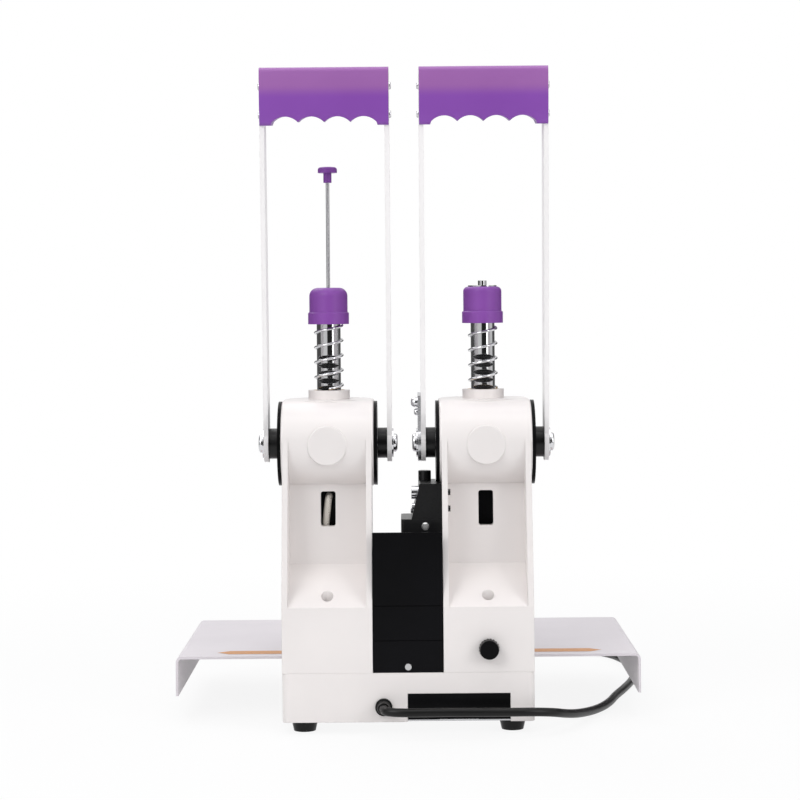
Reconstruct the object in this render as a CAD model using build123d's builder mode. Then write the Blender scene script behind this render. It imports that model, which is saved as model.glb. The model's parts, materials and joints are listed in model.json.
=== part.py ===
from build123d import *
import math
import os

# Binding machine with two levers: one head rivets with a heated die, the other punches.
# Millimetres, +Z up, front towards -Y. The origin lies on the desk, under the middle of
# the machine. Depths are measured forwards from the rear face of the base.

# Layout
column_pitch = 128.0
rear_projection = 9.0
table_overhang = 14.0
table_rear = 62.0
slip = 0.3
running_gap = 0.05
press_gap = 0.02

# Base
base_width = 200.0
base_depth = 250.0
base_bottom = 9.5
base_top = 48.3
base_wall = 3.0
base_corner = 5.0
plate_thickness = 1.5
foot_top_radius = 10.9
foot_low_radius = 8.75
foot_inset_x = 17.0
foot_inset_y = 20.0
foot_boss_radius = 6.0
foot_screw_radius = 2.0
foot_screw_head = 3.5
foot_screw_head_height = 2.5
foot_screw_reach = 18.0

# Chip tray in the rear of the base
tray_width = 81.4
tray_height = 20.6
tray_side = 19.3
tray_depth = 90.0
tray_wall = 2.0
tray_box_inset = 7.0
tray_notch_width = 31.0
tray_notch_height = 3.2

# Work table
table_width = 381.0
table_sheet = 2.0
table_lift = 1.7
table_flange = 30.0
table_bend = 2.5
table_screw_side = 15.0
table_screw_rear = 15.0
table_screw_front = 12.0
table_screw_radius = 2.0
table_pad_radius = 7.0
flange_hole_radius = 2.0
flange_hole_rear = 6.0
flange_hole_drop = 9.0

# Columns
column_width = 71.8
column_front = 61.5
column_wall = 4.7
block_top = 100.0
ramp_front = 41.0
ramp_top = 130.0
panel_top_depth = 49.0
well_width = 48.0
well_rear = 52.0
well_front = 58.3
well_low = 56.0
well_top = 188.0
slot_width = 12.0
slot_low = 160.0
slot_height = 28.0
slot_corner = 2.0
bolt_bore_radius = 4.8
bolt_bore_depth = 11.0
bolt_radius = 2.5
bolt_head_radius = 4.2
bolt_head_height = 5.0
bolt_seat = 54.0
low_bolt_depth = 50.0
low_bolt_offset = 14.0

# Heads
pivot_depth = 62.0
pivot_z = 226.3
head_width = 75.2
drum_radius = 35.0
rear_boss_radius = 16.0
rear_boss_proud = 0.6
rear_boss_round = 1.2
collar_radius = 17.2
collar_height = 7.5
head_fillet = 2.0
disc_radius = 34.3
disc_thickness = 2.6

# Pinion and rack
gear_module = 2.0
pinion_teeth = 19
pressure_angle = 20.0
backlash = 0.3
pinion_width = 18.0
pinion_room = 1.0
rack_radius = 10.0
rack_pitch_offset = 8.0
rack_stroke = 40.0
rack_low = 172.0
rack_top = 345.0
teeth_below = 2
teeth_margin = 12.0
shaft_radius = 7.0
shaft_bush_radius = 10.0
shaft_bush_length = 20.0
rack_bush_radius = 13.0
upper_bush_length = 25.0
lower_bush_length = 15.0

# Levers
lever_lean = 5.0
lever_throw = 120.0
hub_length = 7.8
arm_thickness = 3.8
arm_width = 26.0
arm_end_radius = 15.2
arm_length = 303.0
tongue_size = 9.0
hub_radius = 12.4
washer_radius = 11.8
washer_thickness = 1.3
pivot_head_radius = 7.5
pivot_head_height = 3.3
pivot_screw_radius = 3.0
pivot_screw_reach = 14.0
grip_low = 259.5
grip_top = 306.0
arm_proud = 0.3
grip_half_depth = 16.0
grip_bulge = 2.5
grip_corner = 4.0
scallop_pitch = 21.0
scallop_radius = 11.7
scallop_depth = 9.1
scallop_count = 4
grip_screw_heights = (268.0, 291.0)
grip_screw_radius = 1.9
grip_screw_head = 3.2
grip_screw_head_height = 1.6
grip_screw_reach = 14.0
head_easing = 0.6
cam_screws = ((33.2, 4.15, 5.5), (25.3, 2.9, 3.0))
cam_screw_radius = 2.0

# Caps and return springs
cap_low = 323.5
cap_skirt_radius = 17.0
cap_skirt_height = 10.0
cap_radius = 15.9
cap_top = 353.7
rivet_cap_round = 7.0
punch_cap_round = 4.0
cap_washer_radius = 12.0
cap_washer_thickness = 1.0
cap_screw_radius = 2.5
cap_screw_head = 3.6
cap_screw_head_height = 4.0
cap_screw_reach = 18.0
spring_wire = 2.0
spring_radius = 11.4
spring_turns = 4.25
spring_seat_gap = 0.1

# Guide needle
needle_radius = 1.5
needle_low = 132.5
needle_travel = 80.0
needle_top = 444.0
needle_bore = 2.5
knob_top = 454.0
knob_radius = 8.0
knob_disc = 4.8
knob_neck_radius = 3.4

# Tools under the heads
insulator_radius = 12.0
insulator_height = 22.0
heater_size = 34.0
heater_height = 32.0
heater_fins = 5
fin_groove = 2.0
die_radius = 8.0
die_tip_radius = 4.5
tool_tip = 94.0
anvil_radius = 11.0
anvil_top = 53.2
anvil_flange_radius = 15.0
anvil_flange = 1.5
chuck_radius = 13.0
chuck_height = 40.0
chuck_flats = 8
punch_radius = 4.0
punch_bore = 3.0
punch_slot_height = 22.0
punch_seat = 6.0
punch_pad_radius = 15.0
punch_pad_top = 52.8

# Control box between the columns
box_top = 159.0
box_rear = 1.0
box_front = 60.0
box_body_top = 140.0
box_body_depth = 20.0
box_lip = 3.0
box_wall = 2.5
box_groove_heights = (73.6, 101.0)
box_groove = 0.8
switch_z = 118.0
switch_width = 15.0
switch_height = 21.0
switch_flange = 1.5
switch_rim = 6.0
switch_depth = 16.0
rocker_width = 10.0
rocker_tilt = 8.0
lamp_z = 92.0
lamp_radius = 4.0
lamp_rim = 1.5
box_screw_z = 53.0
box_screw_radius = 1.5
box_screw_head = 2.6
box_screw_head_height = 1.6

# Tube cutter on the punch column
cutter_rear = 26.0
cutter_front = 74.0
cutter_low = 155.5
cutter_plate = 11.5
cutter_plate_reach = 33.0
cutter_body_top = 195.4
cutter_body_reach = 18.5
cutter_flare = 6.0
cutter_shoulder = 3.4
cutter_round = 1.5
cutter_screw_depth = 33.0
cutter_screw_heights = (174.8, 188.0)
cutter_screw_seat = 9.0
wall_screw_head = 2.2
cutter_face_screws = ((40.0, 187.4, 5.3, 4.9), (34.0, 176.8, 2.5, 2.0), (46.0, 172.7, 2.5, 2.0))
face_screw_seat = 4.0
under_screw_radius = 3.0
under_screw_height = 2.0
under_screw_depth = 34.0
under_screw_reaches = (4.1, 28.7)
plunger_radius = 5.2
plunger_inset = 13.5
plunger_top = 203.4
plunger_stroke = 6.0
plunger_slot = 8.0
blade_thickness = 1.0
blade_width = 8.0
blade_low = 164.6
tube_hole_radius = 3.1
cam_thickness = 2.6
cam_gap = 0.5
cam_start = 50.0
cam_end = 134.0
cam_top = 40.0

# Fuse holder
fuse_z = 67.0
fuse_cap_radius = 8.2
fuse_flange = 1.4
fuse_body_radius = 6.0
fuse_stem_radius = 4.0
fuse_stem = 14.0
fuse_length = 34.0
fuse_cap_taper = 0.8
knurls = 20
knurl_radius = 0.6

# Wire of the heater
wire_radius = 2.9
wire_offset = -0.5
wire_sway = 3.0
wire_exit_z = 184.0
wire_exit_bend = 5.4
heater_lead_radius = 2.0

# Power lead
lead_radius = 3.5
bend_share = 0.45
gland_x = 19.6
gland_z = 21.6
gland_radius = 6.8
gland_neck = 5.0
gland_collar = 3.0
coil_turns = 2
coil_radius = 43.0
coil_pitch = 7.6
coil_center_x = -48.0
coil_center_depth = 338.0
tie_thickness = 1.3
tie_width = 9.0
coil_tail = 40.0
arc_samples = 24
plug_length = 40.0
plug_radius = 12.4
plug_neck = 5.5
plug_taper = 16.0
pin_radius = 2.4
pin_length = 19.0
pin_spacing = 19.0

table_front = base_depth + table_overhang
rear_y = (table_front - rear_projection) / 2
rivet_x = column_pitch / 2
punch_x = -column_pitch / 2


def at_depth(depth):
    """Y of a place this far forward of the base's rear face."""
    return rear_y - depth


def side_point(depth, height):
    """A corner of a side view, as Y and Z."""
    return (at_depth(depth), height)


def along_x(x, y, z):
    """Place whose local Z runs towards +X."""
    return Location((x, y, z), (0, 90, 0))


def forward(x, y, z):
    """Place whose local Z runs towards the front."""
    return Location((x, y, z), (90, 0, 0))


def rearward(x, y, z):
    """Place whose local Z runs towards the rear."""
    return Location((x, y, z), (-90, 0, 0))


upward = (Align.CENTER, Align.CENTER, Align.MIN)
downward = (Align.CENTER, Align.CENTER, Align.MAX)


def round_piece(radius, height, mode=Mode.ADD):
    """A cylinder that stands on its place."""
    return Cylinder(radius, height, align=upward, mode=mode)


pivot_y = at_depth(pivot_depth)
pitch_radius = gear_module * pinion_teeth / 2
rack_depth = pivot_depth + pitch_radius + rack_pitch_offset
rack_y = at_depth(rack_depth)
rack_pitch = math.pi * gear_module
head_top = pivot_z + drum_radius
head_bottom = pivot_z - drum_radius
collar_top = head_top + collar_height
table_bottom = base_top + table_lift
table_top = table_bottom + table_sheet
column_half = column_width / 2
head_half = head_width / 2
channel_half = column_half - column_wall
wire_x = rivet_x + wire_offset
wire_depth = (well_rear + well_front) / 2
cutter_wall_x = punch_x + column_half
plate_top = base_bottom + plate_thickness
hub_start = head_half + disc_thickness + slip
arm_inner = hub_start + hub_length
arm_outer = arm_inner + arm_thickness
grip_half_width = arm_outer - arm_proud
tray_center_x = tray_side + tray_width / 2 - base_width / 2
inside_top = base_top - base_wall
foot_places = [
    (side * (base_width / 2 - foot_inset_x), at_depth(depth))
    for side in (-1, 1)
    for depth in (foot_inset_y, base_depth - foot_inset_y)
]
table_screw_places = [
    (side * (base_width / 2 - table_screw_side), at_depth(depth))
    for side in (-1, 1)
    for depth in (table_rear + table_screw_rear, base_depth - table_screw_front)
]
low_bolt_tip = well_low - 2
low_bolt_places = [
    (column_x + side * low_bolt_offset, at_depth(low_bolt_depth))
    for column_x in (rivet_x, punch_x)
    for side in (-1, 1)
]
rear_bolt_places = [(column_x, at_depth(bolt_bore_depth)) for column_x in (rivet_x, punch_x)]

os.makedirs("parts", exist_ok=True)

# Base shell, open below
tray_top = plate_top + slip + tray_height
with BuildPart() as base_shell:
    with BuildSketch(Plane.XY.offset(base_bottom)):
        with Locations((0, at_depth(base_depth / 2))):
            RectangleRounded(base_width, base_depth, base_corner)
    extrude(amount=base_top - base_bottom)
    offset(amount=-base_wall, openings=base_shell.faces().sort_by(Axis.Z)[0])
    with Locations([(x, y, plate_top) for x, y in foot_places]):
        round_piece(foot_boss_radius, inside_top - plate_top)
    with Locations([(x, y, base_top) for x, y in table_screw_places]):
        round_piece(table_pad_radius, table_lift)
    with Locations([(x, y, plate_top) for x, y in foot_places]):
        round_piece(foot_screw_radius, foot_screw_reach + slip, mode=Mode.SUBTRACT)
    with Locations([(x, y, inside_top) for x, y in table_screw_places]):
        round_piece(table_screw_radius, base_wall + table_lift, mode=Mode.SUBTRACT)
    with Locations([(x, y, inside_top) for x, y in low_bolt_places + rear_bolt_places]):
        round_piece(bolt_radius + press_gap, base_wall, mode=Mode.SUBTRACT)
    with Locations((rivet_x, rack_y, inside_top)):
        round_piece(needle_bore, base_wall, mode=Mode.SUBTRACT)
    with Locations((wire_x, at_depth(wire_depth), inside_top)):
        round_piece(wire_radius + slip, base_wall, mode=Mode.SUBTRACT)
    with Locations(rearward(gland_x, at_depth(base_wall), gland_z)):
        round_piece(gland_neck + press_gap, base_wall, mode=Mode.SUBTRACT)
    with BuildSketch(Plane.XZ.offset(-at_depth(0))):
        with Locations((tray_center_x, (base_bottom + tray_top) / 2)):
            Rectangle(tray_width, tray_top - base_bottom)
    extrude(amount=base_wall, mode=Mode.SUBTRACT)
base_shell.part.label = "base_shell"
export_step(base_shell.part, "parts/base_shell.step")

# Bottom plate
with BuildPart() as bottom_plate:
    with BuildSketch(Plane.XY.offset(base_bottom)):
        with Locations((0, at_depth(base_depth / 2))):
            RectangleRounded(
                base_width - 2 * (base_wall + slip),
                base_depth - 2 * (base_wall + slip),
                base_corner - base_wall,
            )
    extrude(amount=plate_thickness)
    with Locations([(x, y, base_bottom) for x, y in foot_places]):
        round_piece(foot_screw_radius, plate_thickness, mode=Mode.SUBTRACT)
bottom_plate.part.label = "bottom_plate"
export_step(bottom_plate.part, "parts/bottom_plate.step")

# Rubber feet with a pocket for the screw head
foot_pocket = base_bottom / 2
with BuildPart() as rubber_feet:
    with Locations([(x, y, 0) for x, y in foot_places]):
        Cone(foot_low_radius, foot_top_radius, base_bottom, align=upward)
        round_piece(foot_screw_head + 1, foot_pocket, mode=Mode.SUBTRACT)
        round_piece(foot_screw_radius, base_bottom, mode=Mode.SUBTRACT)
rubber_feet.part.label = "rubber_feet"
export_step(rubber_feet.part, "parts/rubber_feet.step")

with BuildPart() as foot_screws:
    with Locations([(x, y, foot_pocket - foot_screw_head_height) for x, y in foot_places]):
        round_piece(foot_screw_head, foot_screw_head_height)
    with Locations([(x, y, foot_pocket) for x, y in foot_places]):
        round_piece(foot_screw_radius - press_gap, plate_top + foot_screw_reach - foot_pocket)
foot_screws.part.label = "foot_screws"
export_step(foot_screws.part, "parts/foot_screws.step")

# Chip tray, open above, with a finger notch under its face
tray_low = plate_top + slip
tray_box_width = tray_width - 2 * tray_box_inset
with BuildPart() as chip_tray:
    with BuildSketch(Plane.XZ.offset(-at_depth(0))):
        with Locations((tray_center_x, tray_low + (tray_height - slip) / 2)):
            Rectangle(tray_width - 2 * slip, tray_height - slip)
        with Locations((tray_center_x, tray_low)):
            Ellipse(tray_notch_width / 2, tray_notch_height, mode=Mode.SUBTRACT)
    extrude(amount=base_wall)
    with Locations((tray_center_x, at_depth(base_wall), tray_low)):
        Box(tray_box_width, tray_depth, tray_height - 2 * slip, align=(Align.CENTER, Align.MAX, Align.MIN))
    with Locations((tray_center_x, at_depth(base_wall + tray_wall), tray_low + tray_wall)):
        Box(
            tray_box_width - 2 * tray_wall,
            tray_depth - 2 * tray_wall,
            tray_height,
            align=(Align.CENTER, Align.MAX, Align.MIN),
            mode=Mode.SUBTRACT,
        )
chip_tray.part.label = "chip_tray"
export_step(chip_tray.part, "parts/chip_tray.step")

# Work table: folded sheet with a flange down each side
table_depth = table_front - table_rear
with BuildPart() as work_table:
    with BuildSketch(Plane.XZ.offset(-at_depth(table_rear))) as table_profile:
        with Locations((0, table_top - table_flange / 2 - table_sheet / 2)):
            Rectangle(table_width, table_flange + table_sheet)
        fillet(table_profile.vertices().group_by(Axis.Y)[-1], table_bend + table_sheet)
        with BuildSketch(mode=Mode.SUBTRACT) as table_hollow:
            with Locations((0, table_bottom - table_flange / 2)):
                Rectangle(table_width - 2 * table_sheet, table_flange)
            fillet(table_hollow.vertices().group_by(Axis.Y)[-1], table_bend)
    extrude(amount=table_depth)
    with Locations((rivet_x, rack_y, table_bottom)):
        round_piece(anvil_radius + slip, table_sheet, mode=Mode.SUBTRACT)
    with Locations((punch_x, rack_y, table_bottom)):
        round_piece(punch_pad_radius + slip, table_sheet, mode=Mode.SUBTRACT)
    with Locations([(x, y, table_top) for x, y in table_screw_places]):
        CounterSinkHole(table_screw_radius, 2 * table_screw_radius, table_sheet, 90)
    hole_y = at_depth(table_rear + flange_hole_rear)
    with Locations(along_x(table_width / 2 - table_sheet, hole_y, table_top - flange_hole_drop)):
        round_piece(flange_hole_radius, table_sheet, mode=Mode.SUBTRACT)
work_table.part.label = "work_table"
export_step(work_table.part, "parts/work_table.step")

# Four countersunk screws that hold the table to the base, and the small one in the rear
# of the control box
with BuildPart() as base_screws:
    with Locations([(x, y, table_top) for x, y in table_screw_places]):
        shank = table_screw_radius - press_gap
        Cone(shank, shank + table_screw_radius, table_screw_radius, align=downward)
        Cylinder(shank, table_top - inside_top, align=downward)
    with Locations(forward(0, at_depth(box_rear), box_screw_z)):
        round_piece(box_screw_radius, box_wall)
    with Locations(rearward(0, at_depth(box_rear), box_screw_z)):
        round_piece(box_screw_head, box_screw_head_height)
base_screws.part.label = "base_screws"
export_step(base_screws.part, "parts/base_screws.step")

# Lower die of the riveting head, bored for the needle, and the pad under the punch
with BuildPart() as rivet_anvil:
    with Locations((rivet_x, rack_y, base_top)):
        round_piece(anvil_flange_radius, anvil_flange)
        round_piece(anvil_radius, anvil_top - base_top)
    fillet(rivet_anvil.edges().group_by(Axis.Z)[-1], 1)
    with Locations((rivet_x, rack_y, base_top)):
        round_piece(needle_bore, anvil_top - base_top, mode=Mode.SUBTRACT)
rivet_anvil.part.label = "rivet_anvil"
export_step(rivet_anvil.part, "parts/rivet_anvil.step")

with BuildPart() as punch_pad:
    with Locations((punch_x, rack_y, base_top)):
        round_piece(punch_pad_radius, punch_pad_top - base_top)
    chamfer(punch_pad.edges().group_by(Axis.Z)[-1], 0.6)
punch_pad.part.label = "punch_pad"
export_step(punch_pad.part, "parts/punch_pad.step")

# Tangent from the rear edge of the block to the drum
tangent_run = math.hypot(pivot_depth, pivot_z - block_top)
tangent_angle = math.atan2(pivot_z - block_top, pivot_depth) + math.asin(drum_radius / tangent_run)
tangent_length = math.sqrt(tangent_run**2 - drum_radius**2)
tangent_depth = tangent_length * math.cos(tangent_angle)
tangent_z = block_top + tangent_length * math.sin(tangent_angle)
panel_top = pivot_z - math.sqrt(drum_radius**2 - (pivot_depth - panel_top_depth) ** 2)


def column_casting(center_x):
    """Column with its open rear channel and the head that carries pinion and rack."""
    side = Plane.YZ.offset(center_x)
    with BuildPart() as drum:
        with BuildSketch(side):
            with Locations(side_point(pivot_depth, pivot_z)):
                Circle(drum_radius)
        extrude(amount=head_half, both=True)
        fillet(drum.edges().filter_by(GeomType.CIRCLE), head_fillet)
    with BuildPart() as nose:
        with BuildSketch(Plane.XY.offset(head_bottom)):
            with Locations((center_x, (pivot_y + rack_y) / 2)):
                Rectangle(head_width, pivot_y - rack_y)
            with Locations((center_x, rack_y)):
                Circle(head_half)
        extrude(amount=head_top - head_bottom)
        nose_rims = nose.edges().filter_by(Plane.XY).filter_by(
            lambda edge: edge.center().Y < pivot_y - head_fillet
        )
        fillet(nose_rims, head_fillet)
    with BuildPart() as boss:
        with Locations(forward(center_x, pivot_y + drum_radius + rear_boss_proud, pivot_z)):
            round_piece(rear_boss_radius, drum_radius)
        fillet(boss.edges().filter_by(GeomType.CIRCLE).sort_by(Axis.Y)[-1], rear_boss_round)
    with BuildPart() as casting:
        # Block and slanted side walls
        with BuildSketch(side):
            with BuildLine():
                Polyline(
                    side_point(0, base_top),
                    side_point(0, block_top),
                    side_point(tangent_depth, tangent_z),
                    side_point(column_front, tangent_z),
                    side_point(column_front, base_top),
                    close=True,
                )
            make_face()
        extrude(amount=column_half, both=True)
        # Channel, open to the rear above a ramp
        ramp_slope = (ramp_top - block_top) / ramp_front
        with BuildSketch(side):
            with BuildLine():
                Polyline(
                    side_point(-1, block_top - ramp_slope),
                    side_point(ramp_front, ramp_top),
                    side_point(panel_top_depth, panel_top),
                    side_point(panel_top_depth, tangent_z + 1),
                    side_point(-1, tangent_z + 1),
                    close=True,
                )
            make_face()
        extrude(amount=channel_half, both=True, mode=Mode.SUBTRACT)
        # Drum, nose, rear boss and collar
        add(drum.part)
        add(nose.part)
        add(boss.part)
        with Locations((center_x, rack_y, head_top)):
            round_piece(collar_radius, collar_height)
        # Room for the pinion and its shaft
        with BuildSketch(side):
            with Locations(side_point(pivot_depth, pivot_z)):
                Circle(pitch_radius + gear_module + pinion_room)
        extrude(amount=pinion_width / 2 + pinion_room, both=True, mode=Mode.SUBTRACT)
        with BuildSketch(side):
            with Locations(side_point(pivot_depth, pivot_z)):
                Circle(shaft_bush_radius + press_gap)
        extrude(amount=head_half, both=True, mode=Mode.SUBTRACT)
        # Bore for the rack, with a seat for a bush at each end
        with Locations((center_x, rack_y, head_bottom)):
            round_piece(rack_radius + pinion_room, collar_top - head_bottom, mode=Mode.SUBTRACT)
            round_piece(rack_bush_radius + press_gap, lower_bush_length, mode=Mode.SUBTRACT)
        with Locations((center_x, rack_y, collar_top - upper_bush_length)):
            round_piece(rack_bush_radius + press_gap, upper_bush_length, mode=Mode.SUBTRACT)
        # Hollow for the wires, and the window into it
        with Locations((center_x, at_depth(well_front), well_low)):
            Box(
                well_width,
                well_front - well_rear,
                well_top - well_low,
                align=(Align.CENTER, Align.MIN, Align.MIN),
                mode=Mode.SUBTRACT,
            )
        with BuildSketch(Plane.XZ.offset(-at_depth(ramp_front))):
            with Locations((center_x, slot_low + slot_height / 2)):
                RectangleRounded(slot_width, slot_height, slot_corner)
        extrude(amount=well_rear - ramp_front, mode=Mode.SUBTRACT)
        # Bores for the bolts into the base
        with Locations((center_x, at_depth(bolt_bore_depth), base_top)):
            round_piece(bolt_radius + running_gap, bolt_seat - base_top, mode=Mode.SUBTRACT)
        with Locations((center_x, at_depth(bolt_bore_depth), bolt_seat)):
            round_piece(bolt_bore_radius, ramp_top - bolt_seat, mode=Mode.SUBTRACT)
        low_bolt_y = at_depth(low_bolt_depth)
        with Locations([(center_x + side * low_bolt_offset, low_bolt_y, base_top) for side in (-1, 1)]):
            round_piece(bolt_radius + press_gap, low_bolt_tip + slip - base_top, mode=Mode.SUBTRACT)
    return casting.part


# Riveting column, with a bore for the heater wire through its foot and its front
with BuildPart() as rivet_column:
    add(column_casting(rivet_x))
    with Locations(forward(wire_x, at_depth(well_front), wire_exit_z)):
        round_piece(wire_radius + slip, column_front - well_front, mode=Mode.SUBTRACT)
    with Locations((wire_x, at_depth(wire_depth), base_top)):
        round_piece(wire_radius + slip, well_low - base_top, mode=Mode.SUBTRACT)
rivet_column.part.label = "rivet_column"
export_step(rivet_column.part, "parts/rivet_column.step")

# Punching column, with the fuse bore and the two cutter screw holes in its inner wall
wall_screw_places = [
    along_x(cutter_wall_x - column_wall, at_depth(cutter_screw_depth), z) for z in cutter_screw_heights
]
with BuildPart() as punch_column:
    add(column_casting(punch_x))
    with Locations(forward(punch_x, at_depth(0), fuse_z)):
        round_piece(fuse_body_radius + press_gap, fuse_length, mode=Mode.SUBTRACT)
    with Locations(wall_screw_places):
        round_piece(bolt_radius + press_gap, column_wall, mode=Mode.SUBTRACT)
punch_column.part.label = "punch_column"
export_step(punch_column.part, "parts/punch_column.step")

# Bolts that hold the columns: one down each rear bore, two up from inside the base
with BuildPart() as column_bolts:
    with Locations([(x, y, inside_top) for x, y in rear_bolt_places]):
        round_piece(bolt_radius, bolt_seat - inside_top)
    with Locations([(x, y, bolt_seat) for x, y in rear_bolt_places]):
        round_piece(bolt_head_radius, bolt_head_height)
    with Locations([(x, y, inside_top) for x, y in low_bolt_places]):
        round_piece(bolt_radius, low_bolt_tip - inside_top)
        Cylinder(bolt_head_radius, bolt_head_height, align=downward)
column_bolts.part.label = "column_bolts"
export_step(column_bolts.part, "parts/column_bolts.step")

# Black covers on both sides of each head
with BuildPart() as side_discs:
    for column_x in (rivet_x, punch_x):
        for start in (column_x + head_half, column_x - head_half - disc_thickness):
            with BuildSketch(Plane.YZ.offset(start)):
                with Locations(side_point(pivot_depth, pivot_z)):
                    Circle(disc_radius)
                    Circle(shaft_radius + slip, mode=Mode.SUBTRACT)
            extrude(amount=disc_thickness)
side_discs.part.label = "side_discs"
export_step(side_discs.part, "parts/side_discs.step")

# Bronze bushes of the racks and the pinion shafts
with BuildPart() as rack_bushes:
    for column_x in (rivet_x, punch_x):
        with Locations((column_x, rack_y, head_bottom)):
            round_piece(rack_bush_radius, lower_bush_length)
        with Locations((column_x, rack_y, collar_top - upper_bush_length)):
            round_piece(rack_bush_radius, upper_bush_length)
        with Locations((column_x, rack_y, head_bottom)):
            round_piece(rack_radius + running_gap, collar_top - head_bottom, mode=Mode.SUBTRACT)
rack_bushes.part.label = "rack_bushes"
export_step(rack_bushes.part, "parts/rack_bushes.step")

with BuildPart() as shaft_bushes:
    for column_x in (rivet_x, punch_x):
        for start in (column_x - head_half, column_x + head_half - shaft_bush_length):
            with Locations(along_x(start, pivot_y, pivot_z)):
                round_piece(shaft_bush_radius, shaft_bush_length)
                round_piece(shaft_radius + running_gap, shaft_bush_length, mode=Mode.SUBTRACT)
shaft_bushes.part.label = "shaft_bushes"
export_step(shaft_bushes.part, "parts/shaft_bushes.step")

# Levers lean back at rest, so their pieces are drawn on a leaning side plane
lean = math.radians(lever_lean)
across_lever = (0, math.cos(lean), -math.sin(lean))


def lever_plane(x):
    """Side plane through the pivot: X goes across the arm and Y up along it."""
    return Plane(origin=(x, pivot_y, pivot_z), x_dir=across_lever, z_dir=(1, 0, 0))


def lever_arm(start_x):
    """Flat bar from the pinion shaft up into the end of the grip."""
    with BuildPart() as arm:
        with BuildSketch(lever_plane(start_x)) as outline:
            Circle(arm_end_radius)
            with Locations((0, arm_length / 2)):
                Rectangle(arm_width, arm_length)
            fillet(outline.vertices().group_by(Axis.Y)[-1], grip_corner)
            Rectangle(tongue_size + 2 * running_gap, tongue_size + 2 * running_gap, mode=Mode.SUBTRACT)
            with Locations([(0, height) for height in grip_screw_heights]):
                Circle(grip_screw_radius + press_gap, mode=Mode.SUBTRACT)
        extrude(amount=arm_thickness)
    return arm.part


with BuildPart() as rivet_outer_arm:
    add(lever_arm(rivet_x + arm_inner))
rivet_outer_arm.part.label = "rivet_outer_arm"
export_step(rivet_outer_arm.part, "parts/rivet_outer_arm.step")

with BuildPart() as rivet_inner_arm:
    add(lever_arm(rivet_x - arm_outer))
rivet_inner_arm.part.label = "rivet_inner_arm"
export_step(rivet_inner_arm.part, "parts/rivet_inner_arm.step")

with BuildPart() as punch_inner_arm:
    add(lever_arm(punch_x + arm_inner))
    with BuildSketch(lever_plane(punch_x + arm_inner)):
        with Locations([(0, height) for height, _, _ in cam_screws]):
            Circle(cam_screw_radius + press_gap)
    extrude(amount=arm_thickness, mode=Mode.SUBTRACT)
punch_inner_arm.part.label = "punch_inner_arm"
export_step(punch_inner_arm.part, "parts/punch_inner_arm.step")

with BuildPart() as punch_outer_arm:
    add(lever_arm(punch_x - arm_outer))
punch_outer_arm.part.label = "punch_outer_arm"
export_step(punch_outer_arm.part, "parts/punch_outer_arm.step")

scallop_places = [
    ((index - (scallop_count - 1) / 2) * scallop_pitch, grip_low + scallop_depth - scallop_radius)
    for index in range(scallop_count)
]


def lever_grip(center_x):
    """Moulded cross grip with finger scallops and a recess at each end for the arm."""
    middle = (grip_low + grip_top) / 2
    crown = grip_half_depth + grip_bulge
    front_plane = Plane(
        origin=(center_x, pivot_y, pivot_z), x_dir=(1, 0, 0), z_dir=(0, -math.cos(lean), math.sin(lean))
    )
    with BuildPart() as grip:
        with BuildSketch(lever_plane(center_x)) as outline:
            with BuildLine():
                ThreePointArc((grip_half_depth, grip_low), (crown, middle), (grip_half_depth, grip_top))
                Line((grip_half_depth, grip_top), (-grip_half_depth, grip_top))
                ThreePointArc((-grip_half_depth, grip_top), (-crown, middle), (-grip_half_depth, grip_low))
                Line((-grip_half_depth, grip_low), (grip_half_depth, grip_low))
            make_face()
            fillet(outline.vertices(), grip_corner)
        extrude(amount=grip_half_width, both=True)
        for place in scallop_places:
            with BuildSketch(front_plane):
                with Locations(place):
                    Circle(scallop_radius)
            extrude(amount=2 * grip_half_depth, both=True, mode=Mode.SUBTRACT)
        for side in (-1, 1):
            with BuildSketch(lever_plane(center_x + side * arm_inner)):
                with Locations((0, grip_low - slip)):
                    Rectangle(
                        arm_width + 2 * slip,
                        arm_length + 2 * slip - grip_low,
                        align=(Align.CENTER, Align.MIN),
                    )
            extrude(amount=side * (grip_half_width - arm_inner), mode=Mode.SUBTRACT)
            with BuildSketch(lever_plane(center_x + side * arm_inner)):
                with Locations([(0, height) for height in grip_screw_heights]):
                    Circle(grip_screw_radius + press_gap)
            extrude(amount=-side * grip_screw_reach, mode=Mode.SUBTRACT)
    return grip.part


with BuildPart() as rivet_grip:
    add(lever_grip(rivet_x))
rivet_grip.part.label = "rivet_grip"
export_step(rivet_grip.part, "parts/rivet_grip.step")

with BuildPart() as punch_grip:
    add(lever_grip(punch_x))
punch_grip.part.label = "punch_grip"
export_step(punch_grip.part, "parts/punch_grip.step")


def polar(radius, angle):
    """A point on the side view, round the pivot."""
    return (pivot_y + radius * math.cos(angle), pivot_z + radius * math.sin(angle))


# Involute teeth: half the angle of a tooth at a radius outside the base circle
base_radius = pitch_radius * math.cos(math.radians(pressure_angle))
outer_radius = pitch_radius + gear_module
root_radius = pitch_radius - 1.25 * gear_module
tooth_angle = 2 * math.pi / pinion_teeth


def involute(angle):
    return math.tan(angle) - angle


def half_tooth(radius):
    """Half of a tooth's angle at this radius."""
    at_pitch = (rack_pitch / 2 - backlash / 2) / (2 * pitch_radius)
    return at_pitch + involute(math.radians(pressure_angle)) - involute(math.acos(base_radius / radius))


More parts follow.
